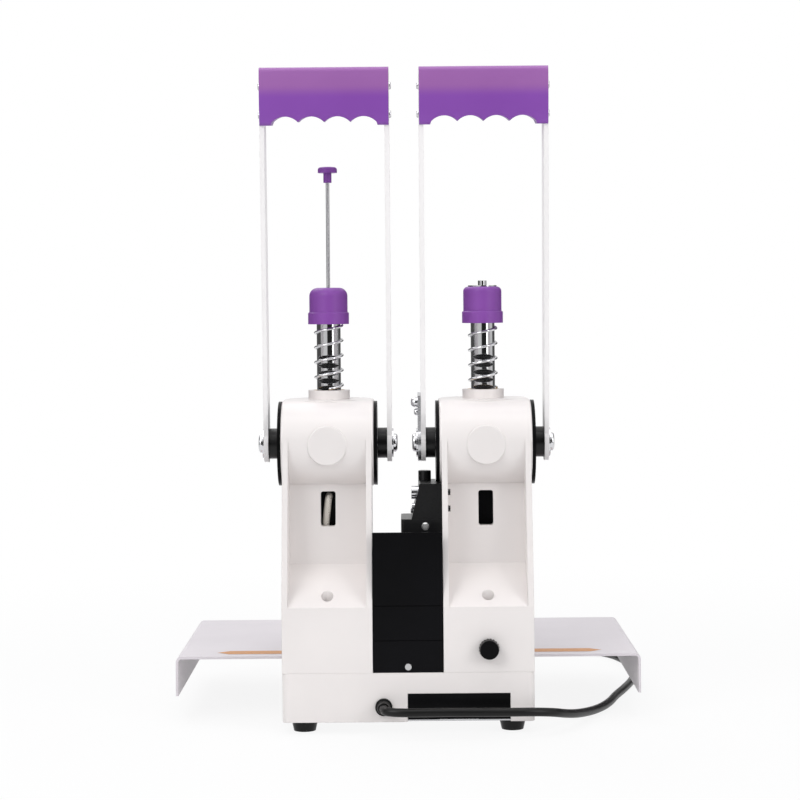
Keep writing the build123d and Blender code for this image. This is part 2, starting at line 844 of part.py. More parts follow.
def pinion_shaft(center_x, reach_left, reach_right):
    """Pinion with its shaft, and a square tongue for the arm at each end."""
    middle_radius = (base_radius + outer_radius) / 2
    foot = half_tooth(base_radius)
    flank = half_tooth(middle_radius)
    tip = half_tooth(outer_radius)
    with BuildPart() as shaft:
        with BuildSketch(Plane.YZ.offset(center_x)):
            with BuildLine():
                for tooth in range(pinion_teeth):
                    center = math.pi + tooth * tooth_angle
                    Line(polar(root_radius, center - foot), polar(base_radius, center - foot))
                    ThreePointArc(
                        polar(base_radius, center - foot),
                        polar(middle_radius, center - flank),
                        polar(outer_radius, center - tip),
                    )
                    Line(polar(outer_radius, center - tip), polar(outer_radius, center + tip))
                    ThreePointArc(
                        polar(outer_radius, center + tip),
                        polar(middle_radius, center + flank),
                        polar(base_radius, center + foot),
                    )
                    Line(polar(base_radius, center + foot), polar(root_radius, center + foot))
                    Line(polar(root_radius, center + foot), polar(root_radius, center + tooth_angle - foot))
            make_face()
        extrude(amount=pinion_width / 2, both=True)
        with Locations(along_x(center_x - arm_inner, pivot_y, pivot_z)):
            round_piece(shaft_radius, 2 * arm_inner)
        with BuildSketch(lever_plane(center_x - arm_inner)):
            Rectangle(tongue_size, tongue_size)
        extrude(amount=-reach_left)
        with BuildSketch(lever_plane(center_x + arm_inner)):
            Rectangle(tongue_size, tongue_size)
        extrude(amount=reach_right)
        for side, reach in ((-1, reach_left), (1, reach_right)):
            with BuildSketch(lever_plane(center_x + side * (arm_inner + reach))):
                Circle(pivot_screw_radius + press_gap)
            extrude(amount=-side * pivot_screw_reach, mode=Mode.SUBTRACT)
    return shaft.part


with BuildPart() as rivet_pinion:
    add(pinion_shaft(rivet_x, arm_thickness, arm_thickness))
rivet_pinion.part.label = "rivet_pinion"
export_step(rivet_pinion.part, "parts/rivet_pinion.step")

with BuildPart() as punch_pinion:
    add(pinion_shaft(punch_x, arm_thickness, arm_thickness + cam_thickness))
punch_pinion.part.label = "punch_pinion"
export_step(punch_pinion.part, "parts/punch_pinion.step")


def shaft_hubs(center_x):
    """Two spacers on the shaft, between the side discs and the arms."""
    with BuildPart() as hubs:
        for start in (center_x - arm_inner, center_x + hub_start):
            with Locations(along_x(start, pivot_y, pivot_z)):
                round_piece(hub_radius, hub_length)
                round_piece(shaft_radius + press_gap, hub_length, mode=Mode.SUBTRACT)
    return hubs.part


with BuildPart() as rivet_hubs:
    add(shaft_hubs(rivet_x))
rivet_hubs.part.label = "rivet_hubs"
export_step(rivet_hubs.part, "parts/rivet_hubs.step")

with BuildPart() as punch_hubs:
    add(shaft_hubs(punch_x))
punch_hubs.part.label = "punch_hubs"
export_step(punch_hubs.part, "parts/punch_hubs.step")


def domed_head(x, height, radius, thickness, side):
    """Screw head on a lever's side, its outer rim rounded; side is 1 towards plus X."""
    with BuildPart() as head:
        with BuildSketch(lever_plane(x)):
            with Locations((0, height)):
                Circle(radius)
        extrude(amount=side * thickness)
        rims = head.edges().sort_by(Axis.X)
        fillet(rims[-1] if side > 0 else rims[0], head_easing * thickness)
    return head.part


def lever_screws(center_x, stack_left, stack_right):
    """Pivot screws with their washers, and the small screws through the arms into the grip."""
    with BuildPart() as screws:
        for side, stack in ((-1, stack_left), (1, stack_right)):
            seat = center_x + side * (arm_inner + stack)
            with BuildSketch(lever_plane(seat)):
                Circle(washer_radius)
                Circle(pivot_screw_radius + press_gap, mode=Mode.SUBTRACT)
            extrude(amount=side * washer_thickness)
            outside = seat + side * washer_thickness
            add(domed_head(outside, 0, pivot_head_radius, pivot_head_height, side))
            with BuildSketch(lever_plane(outside)):
                Circle(pivot_screw_radius)
            extrude(amount=-side * (washer_thickness + pivot_screw_reach))
            arm_face = center_x + side * arm_outer
            for height in grip_screw_heights:
                add(domed_head(arm_face, height, grip_screw_head, grip_screw_head_height, side))
            with BuildSketch(lever_plane(arm_face)):
                with Locations([(0, height) for height in grip_screw_heights]):
                    Circle(grip_screw_radius)
            extrude(amount=-side * (arm_thickness + grip_screw_reach))
    return screws.part


with BuildPart() as rivet_lever_screws:
    add(lever_screws(rivet_x, arm_thickness, arm_thickness))
rivet_lever_screws.part.label = "rivet_lever_screws"
export_step(rivet_lever_screws.part, "parts/rivet_lever_screws.step")

# The punching lever has two more, which hold the cam plate to its inner arm
with BuildPart() as punch_lever_screws:
    add(lever_screws(punch_x, arm_thickness, arm_thickness + cam_thickness))
    for height, head_radius, head_height in cam_screws:
        add(domed_head(punch_x + arm_outer + cam_thickness, height, head_radius, head_height, 1))
        with BuildSketch(lever_plane(punch_x + arm_inner)):
            with Locations((0, height)):
                Circle(cam_screw_radius)
        extrude(amount=arm_thickness + cam_thickness)
punch_lever_screws.part.label = "punch_lever_screws"
export_step(punch_lever_screws.part, "parts/punch_lever_screws.step")

# Cam plate beside the inner arm of the punching lever: a lobe whose radius grows at the
# plunger's rate, so that the lobe stays just above the plunger's head
plunger_rate = plunger_stroke / math.radians(lever_throw)
plunger_depth = pivot_depth


def cam_radius(angle):
    """Radius of the lobe at this angle forwards from straight down."""
    return pivot_z - plunger_top - cam_gap + plunger_rate * angle


def cam_point(radius, angle):
    """A point of the cam, by its angle forwards from straight down."""
    return (pivot_y - radius * math.sin(angle), pivot_z - radius * math.cos(angle))


lobe_start = math.radians(cam_start)
lobe_end = math.radians(cam_end)
lobe_middle = (lobe_start + lobe_end) / 2
with BuildPart() as cutter_cam:
    with BuildSketch(Plane.YZ.offset(punch_x + arm_outer)):
        with BuildLine():
            ThreePointArc(
                cam_point(cam_radius(lobe_start), lobe_start),
                cam_point(cam_radius(lobe_middle), lobe_middle),
                cam_point(cam_radius(lobe_end), lobe_end),
            )
            Line(cam_point(cam_radius(lobe_end), lobe_end), (pivot_y, pivot_z))
            Line((pivot_y, pivot_z), cam_point(cam_radius(lobe_start), lobe_start))
        make_face()
    extrude(amount=cam_thickness)
    with BuildSketch(lever_plane(punch_x + arm_outer)):
        Circle(arm_end_radius)
        with Locations((0, cam_top / 2)):
            Rectangle(arm_width - 4, cam_top)
    extrude(amount=cam_thickness)
    with BuildSketch(lever_plane(punch_x + arm_outer)):
        Rectangle(tongue_size + 2 * running_gap, tongue_size + 2 * running_gap)
        with Locations([(0, height) for height, _, _ in cam_screws]):
            Circle(cam_screw_radius + press_gap)
    extrude(amount=cam_thickness, mode=Mode.SUBTRACT)
cutter_cam.part.label = "cutter_cam"
export_step(cutter_cam.part, "parts/cutter_cam.step")

# Racks
rack_root = rack_pitch_offset - 1.25 * gear_module
groove_slope = math.tan(math.radians(pressure_angle))
groove_half = (rack_pitch / 2 + backlash / 2) / 2


def rack_bar(center_x):
    """Round bar with rack teeth cut into the side that faces the pinion."""
    outside = rack_radius + 1
    half_outside = groove_half + (outside - rack_pitch_offset) * groove_slope
    half_root = groove_half - (rack_pitch_offset - rack_root) * groove_slope
    last_tooth = round((rack_stroke + collar_top - pivot_z - teeth_margin) / rack_pitch)
    with BuildPart() as bar:
        with Locations((center_x, rack_y, rack_low)):
            round_piece(rack_radius, rack_top - rack_low)
        with BuildSketch(Plane.YZ.offset(center_x)):
            for tooth in range(-teeth_below, last_tooth + 1):
                height = pivot_z + tooth * rack_pitch
                with BuildLine():
                    Polyline(
                        (rack_y + rack_root, height - half_root),
                        (rack_y + outside, height - half_outside),
                        (rack_y + outside, height + half_outside),
                        (rack_y + rack_root, height + half_root),
                        close=True,
                    )
                make_face()
        extrude(amount=rack_radius, both=True, mode=Mode.SUBTRACT)
    return bar.part


with BuildPart() as rivet_rack:
    add(rack_bar(rivet_x))
    with Locations((rivet_x, rack_y, rack_low)):
        round_piece(needle_bore, rack_top - rack_low, mode=Mode.SUBTRACT)
rivet_rack.part.label = "rivet_rack"
export_step(rivet_rack.part, "parts/rivet_rack.step")

with BuildPart() as punch_rack:
    add(rack_bar(punch_x))
    with Locations((punch_x, rack_y, cap_top - cap_screw_reach)):
        round_piece(cap_screw_radius + press_gap, cap_screw_reach, mode=Mode.SUBTRACT)
punch_rack.part.label = "punch_rack"
export_step(punch_rack.part, "parts/punch_rack.step")


def rack_cap(center_x, rounding, hole_radius):
    """Stepped cap over the top of a rack; its skirt holds the spring down."""
    with BuildPart() as cap:
        with Locations((center_x, rack_y, cap_low)):
            round_piece(cap_skirt_radius, cap_skirt_height)
        chamfer(cap.edges().group_by(Axis.Z)[-1], cap_skirt_radius - cap_radius - 0.2)
        with Locations((center_x, rack_y, cap_low)):
            round_piece(cap_radius, cap_top - cap_low)
        fillet(cap.edges().group_by(Axis.Z)[-1], rounding)
        with Locations((center_x, rack_y, cap_low)):
            round_piece(rack_radius + press_gap, rack_top - cap_low, mode=Mode.SUBTRACT)
            round_piece(hole_radius, cap_top - cap_low, mode=Mode.SUBTRACT)
    return cap.part


with BuildPart() as rivet_cap:
    add(rack_cap(rivet_x, rivet_cap_round, needle_radius + running_gap))
rivet_cap.part.label = "rivet_cap"
export_step(rivet_cap.part, "parts/rivet_cap.step")

with BuildPart() as punch_cap:
    add(rack_cap(punch_x, punch_cap_round, cap_screw_radius + press_gap))
punch_cap.part.label = "punch_cap"
export_step(punch_cap.part, "parts/punch_cap.step")

with BuildPart() as punch_cap_screw:
    with Locations((punch_x, rack_y, cap_top)):
        round_piece(cap_washer_radius, cap_washer_thickness)
        round_piece(cap_screw_radius + press_gap, cap_washer_thickness, mode=Mode.SUBTRACT)
    with Locations((punch_x, rack_y, cap_top + cap_washer_thickness)):
        round_piece(cap_screw_head, cap_screw_head_height)
    with Locations((punch_x, rack_y, cap_top - cap_screw_reach)):
        round_piece(cap_screw_radius, cap_screw_reach + cap_washer_thickness)
punch_cap_screw.part.label = "punch_cap_screw"
export_step(punch_cap_screw.part, "parts/punch_cap_screw.step")


def biarc(start, start_way, end, end_way):
    """Two arcs that leave and arrive along the given ways; call inside BuildLine."""
    start_way = Vector(start_way).normalized()
    end_way = Vector(end_way).normalized()
    span = Vector(end) - Vector(start)
    twist = 2 * (1 - start_way.dot(end_way))
    pull = 2 * span.dot(start_way + end_way)
    reach = (-pull + math.sqrt(pull**2 + 4 * twist * span.dot(span))) / (2 * twist)
    start_corner = Vector(start) + start_way * reach
    end_corner = Vector(end) - end_way * reach
    joint = (start_corner + end_corner) / 2
    TangentArc(start, joint, tangent=start_way)
    TangentArc(joint, end, tangent=end_corner - start_corner)


def least_gap(points, wire_radius, skip):
    """Least space between a tube's surfaces, from points more than skip places apart."""
    return min(
        (points[first] - points[second]).length - 2 * wire_radius
        for first in range(len(points))
        for second in range(first + skip, len(points))
    )


spring_low = collar_top + spring_seat_gap + spring_wire / 2
spring_high = cap_low - spring_seat_gap - spring_wire / 2
spring_pitch = (spring_high - spring_low) / spring_turns


def return_spring(center_x, first_quarter, name):
    """Open coil round the rack, one unbroken wire; its lower end lies at the first quarter."""

    def place(quarter):
        angle = (first_quarter + quarter) * math.pi / 2
        return Vector(
            center_x + spring_radius * math.cos(angle),
            rack_y + spring_radius * math.sin(angle),
            spring_low + spring_pitch * quarter / 4,
        )

    def way(quarter):
        angle = (first_quarter + quarter) * math.pi / 2
        return Vector(
            -spring_radius * math.sin(angle), spring_radius * math.cos(angle), spring_pitch / (2 * math.pi)
        )

    with BuildPart() as spring:
        with BuildLine() as path:
            for quarter in range(round(4 * spring_turns)):
                biarc(place(quarter), way(quarter), place(quarter + 1), way(quarter + 1))
        with BuildSketch(Plane(origin=place(0), z_dir=way(0))):
            Circle(spring_wire / 2)
        sweep(path=path.wires()[0])
    samples = [place(step / 8) for step in range(round(32 * spring_turns) + 1)]
    print(name, "least gap between turns", round(least_gap(samples, spring_wire / 2, 16), 2))
    return spring.part


with BuildPart() as rivet_spring:
    add(return_spring(rivet_x, 1, "rivet_spring"))
rivet_spring.part.label = "rivet_spring"
export_step(rivet_spring.part, "parts/rivet_spring.step")

with BuildPart() as punch_spring:
    add(return_spring(punch_x, 2, "punch_spring"))
punch_spring.part.label = "punch_spring"
export_step(punch_spring.part, "parts/punch_spring.step")

# Guide needle through the cap and the hollow rack, with its knob
with BuildPart() as guide_needle:
    with Locations((rivet_x, rack_y, needle_low)):
        round_piece(needle_radius, needle_top - needle_low)
    chamfer(guide_needle.edges().group_by(Axis.Z)[0], needle_radius / 2)
guide_needle.part.label = "guide_needle"
export_step(guide_needle.part, "parts/guide_needle.step")

knob_low = needle_top - 3.0
with BuildPart() as needle_knob:
    with Locations((rivet_x, rack_y, knob_low)):
        round_piece(knob_neck_radius, knob_top - knob_low)
    with Locations((rivet_x, rack_y, knob_top - knob_disc)):
        round_piece(knob_radius, knob_disc)
    fillet(needle_knob.edges().group_by(Axis.Z)[-1], knob_disc / 2)
    with Locations((rivet_x, rack_y, knob_low)):
        round_piece(needle_radius + press_gap, needle_top - knob_low, mode=Mode.SUBTRACT)
needle_knob.part.label = "needle_knob"
export_step(needle_knob.part, "parts/needle_knob.step")

# Riveting tool: insulator, finned heater block and die, all bored for the needle
heater_top = rack_low - insulator_height
heater_low = heater_top - heater_height
with BuildPart() as heat_insulator:
    with Locations((rivet_x, rack_y, heater_top)):
        round_piece(insulator_radius, insulator_height)
        round_piece(needle_bore, insulator_height, mode=Mode.SUBTRACT)
heat_insulator.part.label = "heat_insulator"
export_step(heat_insulator.part, "parts/heat_insulator.step")

fin_pitch = heater_height / (heater_fins + 1)
with BuildPart() as heater_block:
    with Locations((rivet_x, rack_y, heater_low)):
        Box(heater_size, heater_size, heater_height, align=upward)
    for fin in range(heater_fins):
        with BuildSketch(Plane.XY.offset(heater_low + (fin + 1) * fin_pitch - fin_groove / 2)):
            with Locations((rivet_x, rack_y)):
                Rectangle(heater_size + 1, heater_size + 1)
                Rectangle(heater_size - 2 * fin_groove, heater_size - 2 * fin_groove, mode=Mode.SUBTRACT)
        extrude(amount=fin_groove, mode=Mode.SUBTRACT)
    with Locations((rivet_x, rack_y, heater_low)):
        round_piece(needle_bore, heater_height, mode=Mode.SUBTRACT)
heater_block.part.label = "heater_block"
export_step(heater_block.part, "parts/heater_block.step")

with BuildPart() as rivet_die:
    with Locations((rivet_x, rack_y, tool_tip)):
        Cone(die_tip_radius, die_radius, die_radius, align=upward)
    with Locations((rivet_x, rack_y, tool_tip + die_radius)):
        round_piece(die_radius, heater_low - tool_tip - die_radius)
    with Locations((rivet_x, rack_y, tool_tip)):
        round_piece(needle_bore, heater_low - tool_tip, mode=Mode.SUBTRACT)
rivet_die.part.label = "rivet_die"
export_step(rivet_die.part, "parts/rivet_die.step")


def even_radii(points):
    """The bend radius at each inner point, as large as a share of the shorter run allows."""
    corners = [Vector(point) for point in points]
    radii = []
    for before, corner, after in zip(corners, corners[1:], corners[2:]):
        shorter = min((corner - before).length, (after - corner).length)
        turn = math.radians((corner - before).get_angle(after - corner))
        radii.append(bend_share * shorter / math.tan(turn / 2))
    return radii


def tube(points, radii, radius, name):
    """A round tube along straight runs joined by tangent arcs."""
    with BuildPart() as piece:
        with BuildLine() as path:
            FilletPolyline(*points, radius=radii)
        with BuildSketch(Plane(origin=points[0], z_dir=Vector(points[1]) - Vector(points[0]))):
            Circle(radius)
        sweep(path=path.wires()[0])
    length = path.wires()[0].length
    section = math.pi * radius**2
    print(name, "length", round(length), "radii", [round(bend) for bend in radii])
    print(name, "volume over section times length", round(piece.part.volume / (section * length), 4))
    return piece.part


# Heater wire: up the hollow of the column, past the window and out of its front
with BuildPart() as heater_wire:
    wire_y = at_depth(wire_depth)
    wire_points = [
        (wire_x, wire_y, inside_top),
        (wire_x, wire_y, 90),
        (wire_x + wire_sway, wire_y, 130),
        (wire_x + wire_sway, wire_y, 162),
        (wire_x, wire_y, wire_exit_z),
        (wire_x, at_depth(column_front), wire_exit_z),
    ]
    wire_radii = even_radii(wire_points)[:-1] + [wire_exit_bend]
    add(tube(wire_points, wire_radii, wire_radius, "heater_wire"))
heater_wire.part.label = "heater_wire"
export_step(heater_wire.part, "parts/heater_wire.step")

# Its bare stretch, from the column down to the heater block, bends as the head comes down
lead_drop_depth = rack_depth - heater_size / 2 + heater_lead_radius + running_gap + slip
with BuildPart() as heater_lead:
    lead_points = [
        (wire_x, at_depth(column_front), wire_exit_z),
        (wire_x, at_depth(column_front + 8), wire_exit_z),
        (wire_x, at_depth(lead_drop_depth), wire_exit_z - 9),
        (wire_x, at_depth(lead_drop_depth), heater_top),
    ]
    add(tube(lead_points, even_radii(lead_points), heater_lead_radius, "heater_lead"))
heater_lead.part.label = "heater_lead"
export_step(heater_lead.part, "parts/heater_lead.step")

# Punching tool: chuck with flats and a hollow punch with a chip slot
chuck_low = rack_low - chuck_height
with BuildPart() as punch_chuck:
    with Locations((punch_x, rack_y, chuck_low)):
        round_piece(chuck_radius, chuck_height)
    chamfer(punch_chuck.edges().filter_by(GeomType.CIRCLE), 1.5)
    with BuildSketch(Plane.XY.offset(chuck_low)):
        with Locations((punch_x, rack_y)):
            Circle(chuck_radius + 1)
            RegularPolygon(chuck_radius - 0.4, side_count=chuck_flats, mode=Mode.SUBTRACT)
    extrude(amount=chuck_height / 2, mode=Mode.SUBTRACT)
    with Locations((punch_x, rack_y, chuck_low)):
        round_piece(punch_radius + press_gap, punch_seat, mode=Mode.SUBTRACT)
punch_chuck.part.label = "punch_chuck"
export_step(punch_chuck.part, "parts/punch_chuck.step")

punch_top = chuck_low + punch_seat
with BuildPart() as hollow_punch:
    with Locations((punch_x, rack_y, tool_tip)):
        round_piece(punch_radius, punch_top - tool_tip)
    chamfer(hollow_punch.edges().group_by(Axis.Z)[0], 2.0, 0.7)
    with Locations((punch_x, rack_y, tool_tip)):
        round_piece(punch_bore, punch_top - tool_tip, mode=Mode.SUBTRACT)
    with BuildSketch(Plane.XZ.offset(-rack_y)):
        with Locations((punch_x, (tool_tip + chuck_low) / 2 + 2)):
            SlotOverall(punch_slot_height, punch_bore * 1.4, rotation=90)
    extrude(amount=punch_radius, mode=Mode.SUBTRACT)
hollow_punch.part.label = "hollow_punch"
export_step(hollow_punch.part, "parts/hollow_punch.step")

# Control box between the columns, open below; its top slopes forward from the rear edge
box_half = column_pitch / 2 - column_half - slip
front_y = at_depth(box_front)
with BuildPart() as control_box:
    with BuildSketch(Plane.YZ):
        with BuildLine():
            Polyline(
                side_point(box_rear, base_top),
                side_point(box_rear, box_top),
                side_point(box_rear + box_lip, box_top),
                side_point(box_body_depth, box_body_top),
                side_point(box_front, box_body_top),
                side_point(box_front, base_top),
                close=True,
            )
        make_face()
    extrude(amount=box_half, both=True)
    with Locations((0, front_y + box_wall, base_top)):
        Box(
            2 * (box_half - box_wall),
            box_front - box_rear - 2 * box_wall,
            box_body_top - box_wall - base_top,
            align=(Align.CENTER, Align.MIN, Align.MIN),
            mode=Mode.SUBTRACT,
        )
    with BuildSketch(Plane.XZ.offset(-at_depth(box_rear))):
        with Locations([(0, height) for height in box_groove_heights]):
            Rectangle(2 * box_half, box_groove)
    extrude(amount=box_groove, mode=Mode.SUBTRACT)
    with Locations(forward(0, at_depth(box_rear), box_screw_z)):
        round_piece(box_screw_radius + press_gap, box_wall, mode=Mode.SUBTRACT)
    with BuildSketch(Plane.XZ.offset(-front_y - box_wall)):
        with Locations((0, switch_z)):
            Rectangle(switch_width + 2 * slip, switch_height + 2 * slip)
        with Locations((0, lamp_z)):
            Circle(lamp_radius + press_gap)
    extrude(amount=2 * box_wall, mode=Mode.SUBTRACT)
control_box.part.label = "control_box"
export_step(control_box.part, "parts/control_box.step")

# Power switch in the front of the control box
rocker_y = front_y + switch_flange * 2
rocker_radius = (switch_height - 4) / 2
with BuildPart() as switch_housing:
    with Locations((0, front_y, switch_z)):
        Box(
            switch_width + switch_rim,
            switch_flange,
            switch_height + switch_rim,
            align=(Align.CENTER, Align.MAX, Align.CENTER),
        )
        Box(switch_width, switch_depth, switch_height, align=(Align.CENTER, Align.MIN, Align.CENTER))
    with BuildSketch(Plane.YZ.offset(-rocker_width / 2 - slip)):
        with Locations((rocker_y, switch_z)):
            Circle(rocker_radius + 2 * slip)
    extrude(amount=rocker_width + 2 * slip, mode=Mode.SUBTRACT)
switch_housing.part.label = "switch_housing"
export_step(switch_housing.part, "parts/switch_housing.step")

# The rocker stands pressed at one end; its face dips in the middle
with BuildPart() as power_rocker:
    with BuildSketch(Plane.YZ.offset(-rocker_width / 2)):
        with Locations((rocker_y, switch_z)):
            Circle(rocker_radius)
        with Locations(Location((rocker_y - rocker_radius, switch_z), rocker_tilt)):
            Ellipse(rocker_radius * 0.45, rocker_radius * 1.2, mode=Mode.SUBTRACT)
    extrude(amount=rocker_width)
power_rocker.part.label = "power_rocker"
export_step(power_rocker.part, "parts/power_rocker.step")

with BuildPart() as indicator_lamp:
    with Locations(forward(0, front_y + box_wall, lamp_z)):
        round_piece(lamp_radius, box_wall + lamp_rim)
    with Locations(forward(0, front_y, lamp_z)):
        round_piece(lamp_radius + lamp_rim, lamp_rim)
    with Locations((0, front_y - lamp_rim, lamp_z)):
        Sphere(lamp_radius - 0.2)
indicator_lamp.part.label = "indicator_lamp"
export_step(indicator_lamp.part, "parts/indicator_lamp.step")

# Cutter body on the inner wall of the punching column
cutter_depth = cutter_front - cutter_rear
plate_z = cutter_low + cutter_plate
plunger_x = cutter_wall_x + plunger_inset
plunger_y = at_depth(plunger_depth)
plunger_low = plate_z + plunger_stroke + 2 * blade_thickness
cutter_face_x = cutter_wall_x + cutter_body_reach
cutter_shoulder_z = cutter_body_top - cutter_shoulder
head_proud = head_half - column_half


def cutter_face(height):
    """X of the body's slanted face at this height."""
    return cutter_face_x + cutter_flare * (cutter_shoulder_z - height) / (cutter_shoulder_z - plate_z)


with BuildPart() as cutter_body:
    with BuildSketch(Plane.XZ.offset(-at_depth(cutter_rear))):
        with BuildLine():
            Polyline(
                (cutter_wall_x, plate_z),
                (cutter_wall_x, cutter_body_top),
                (cutter_face_x, cutter_body_top),
                (cutter_face_x, cutter_shoulder_z),
                (cutter_face_x + cutter_flare, plate_z),
                close=True,
            )
        make_face()
    extrude(amount=cutter_depth)
    fillet(cutter_body.edges().filter_by(Axis.Y).group_by(Axis.Z)[-1].sort_by(Axis.X)[-1], cutter_round)
    with Locations((plunger_x, plunger_y, plunger_low - plunger_stroke - slip)):
        round_piece(plunger_radius + running_gap, cutter_body_top - plate_z, mode=Mode.SUBTRACT)
    with Locations((plunger_x, plunger_y, plate_z)):
        Box(
            blade_width + 2 * slip,
            blade_thickness + 2 * slip,
            plunger_low - plate_z,
            align=upward,
            mode=Mode.SUBTRACT,
        )
    # Room for the head, which is wider than the column, and its side disc
    with Locations(along_x(cutter_wall_x, pivot_y, pivot_z)):
        round_piece(drum_radius + slip, head_proud + disc_thickness + slip, mode=Mode.SUBTRACT)
    with Locations((cutter_wall_x, pivot_y, head_bottom - slip)):
        Box(
            head_proud + slip,
            cutter_depth,
            cutter_body_top,
            align=(Align.MIN, Align.MAX, Align.MIN),
            mode=Mode.SUBTRACT,
        )
    with Locations(wall_screw_places):
        round_piece(bolt_radius + press_gap, column_wall + cutter_screw_seat, mode=Mode.SUBTRACT)
    for depth, height, radius, _ in cutter_face_screws:
        with Locations(along_x(cutter_face(height) - face_screw_seat, at_depth(depth), height)):
            round_piece(radius + press_gap, face_screw_seat + cutter_flare, mode=Mode.SUBTRACT)
cutter_body.part.label = "cutter_body"
export_step(cutter_body.part, "parts/cutter_body.step")

# Cutter base plate with the hole that takes the rivet tube
tube_z = cutter_low + cutter_plate / 2
with BuildPart() as cutter_base:
    with Locations((cutter_wall_x, at_depth(cutter_rear), cutter_low)):
        Box(cutter_plate_reach, cutter_depth, cutter_plate, align=(Align.MIN, Align.MAX, Align.MIN))
    chamfer(cutter_base.edges().filter_by(Axis.Z).sort_by(Axis.X)[-2:], 2)
    with Locations(forward(plunger_x, at_depth(cutter_rear), tube_z)):
        round_piece(tube_hole_radius, cutter_depth, mode=Mode.SUBTRACT)
    with Locations((plunger_x, plunger_y, tube_z - tube_hole_radius)):
        Box(
            blade_width + 2 * slip,
            blade_thickness + 2 * slip,
            plate_z - tube_z + tube_hole_radius,
            align=upward,
            mode=Mode.SUBTRACT,
        )
cutter_base.part.label = "cutter_base"
export_step(cutter_base.part, "parts/cutter_base.step")

with BuildPart() as cutter_plunger:
    with Locations((plunger_x, plunger_y, plunger_low)):
        round_piece(plunger_radius, plunger_top - plunger_low)
    chamfer(cutter_plunger.edges().group_by(Axis.Z)[-1], 0.5)
    with Locations((plunger_x, plunger_y, plunger_low)):
        Box(
            blade_width + 2 * press_gap,
            blade_thickness + 2 * press_gap,
            plunger_slot,
            align=upward,
            mode=Mode.SUBTRACT,
        )
cutter_plunger.part.label = "cutter_plunger"
export_step(cutter_plunger.part, "parts/cutter_plunger.step")

with BuildPart() as cutter_blade:
    with BuildSketch(Plane.XZ.offset(-plunger_y - blade_thickness / 2)):
        with BuildLine():
            Polyline(
                (plunger_x - blade_width / 2, plunger_low + plunger_slot),
                (plunger_x + blade_width / 2, plunger_low + plunger_slot),
                (plunger_x + blade_width / 2, blade_low + 2),
                (plunger_x - blade_width / 2, blade_low),
                close=True,
            )
        make_face()
    extrude(amount=blade_thickness)
cutter_blade.part.label = "cutter_blade"
export_step(cutter_blade.part, "parts/cutter_blade.step")

# Cutter screws: two through the column's wall, three on the inner face and two round
# heads under the plate
with BuildPart() as cutter_screws:
    for place in wall_screw_places:
        with Locations(place * Location((0, 0, -wall_screw_head))):
            round_piece(bolt_radius, wall_screw_head + column_wall + cutter_screw_seat)
    for depth, height, radius, proud in cutter_face_screws:
        with Locations(along_x(cutter_face(height) - face_screw_seat, at_depth(depth), height)):
            round_piece(radius, face_screw_seat + proud)
    under_y = at_depth(under_screw_depth)
    with Locations([(cutter_wall_x + reach, under_y, cutter_low) for reach in under_screw_reaches]):
        Cylinder(under_screw_radius, under_screw_height, align=downward)
cutter_screws.part.label = "cutter_screws"
export_step(cutter_screws.part, "parts/cutter_screws.step")

# Fuse holder in the foot of the punching column, and its knurled bayonet cap
fuse_cap_length = rear_projection - fuse_flange - slip
with BuildPart() as fuse_holder:
    with Locations(forward(punch_x, at_depth(0), fuse_z)):
        round_piece(fuse_body_radius, fuse_length - 1)
    with Locations(rearward(punch_x, at_depth(0), fuse_z)):
        round_piece(fuse_cap_radius - 0.7, fuse_flange)
    with Locations(forward(punch_x, at_depth(-fuse_flange), fuse_z)):
        round_piece(fuse_stem_radius + running_gap, fuse_stem + fuse_flange + 1, mode=Mode.SUBTRACT)
fuse_holder.part.label = "fuse_holder"
export_step(fuse_holder.part, "parts/fuse_holder.step")

with BuildPart() as fuse_cap:
    with BuildSketch(Plane.XZ.offset(-at_depth(-fuse_flange - slip))):
        with Locations((punch_x, fuse_z)):
            Circle(fuse_cap_radius)
            with PolarLocations(fuse_cap_radius, knurls):
                Circle(knurl_radius, mode=Mode.SUBTRACT)
    extrude(amount=-fuse_cap_length)
    with Locations(rearward(punch_x, at_depth(-fuse_flange - slip), fuse_z)):
        Cone(
            fuse_cap_radius,
            fuse_cap_radius - fuse_cap_taper,
            fuse_cap_length,
            align=upward,
            mode=Mode.INTERSECT,
        )
    with Locations(forward(punch_x, at_depth(-fuse_flange - slip), fuse_z)):
        round_piece(fuse_stem_radius, fuse_stem)
fuse_cap.part.label = "fuse_cap"
export_step(fuse_cap.part, "parts/fuse_cap.step")

# Gland of the power lead
gland_cone = rear_projection - gland_collar
with BuildPart() as cord_gland:
    with Locations(forward(gland_x, at_depth(0), gland_z)):
        round_piece(gland_neck, base_wall + gland_collar)
    with Locations(rearward(gland_x, at_depth(0), gland_z)):
        round_piece(gland_radius, gland_collar)
    with Locations(rearward(gland_x, at_depth(-gland_collar), gland_z)):
        Cone(gland_radius - 1, lead_radius + 1, gland_cone, align=upward)
cord_gland.part.label = "cord_gland"
export_step(cord_gland.part, "parts/cord_gland.step")

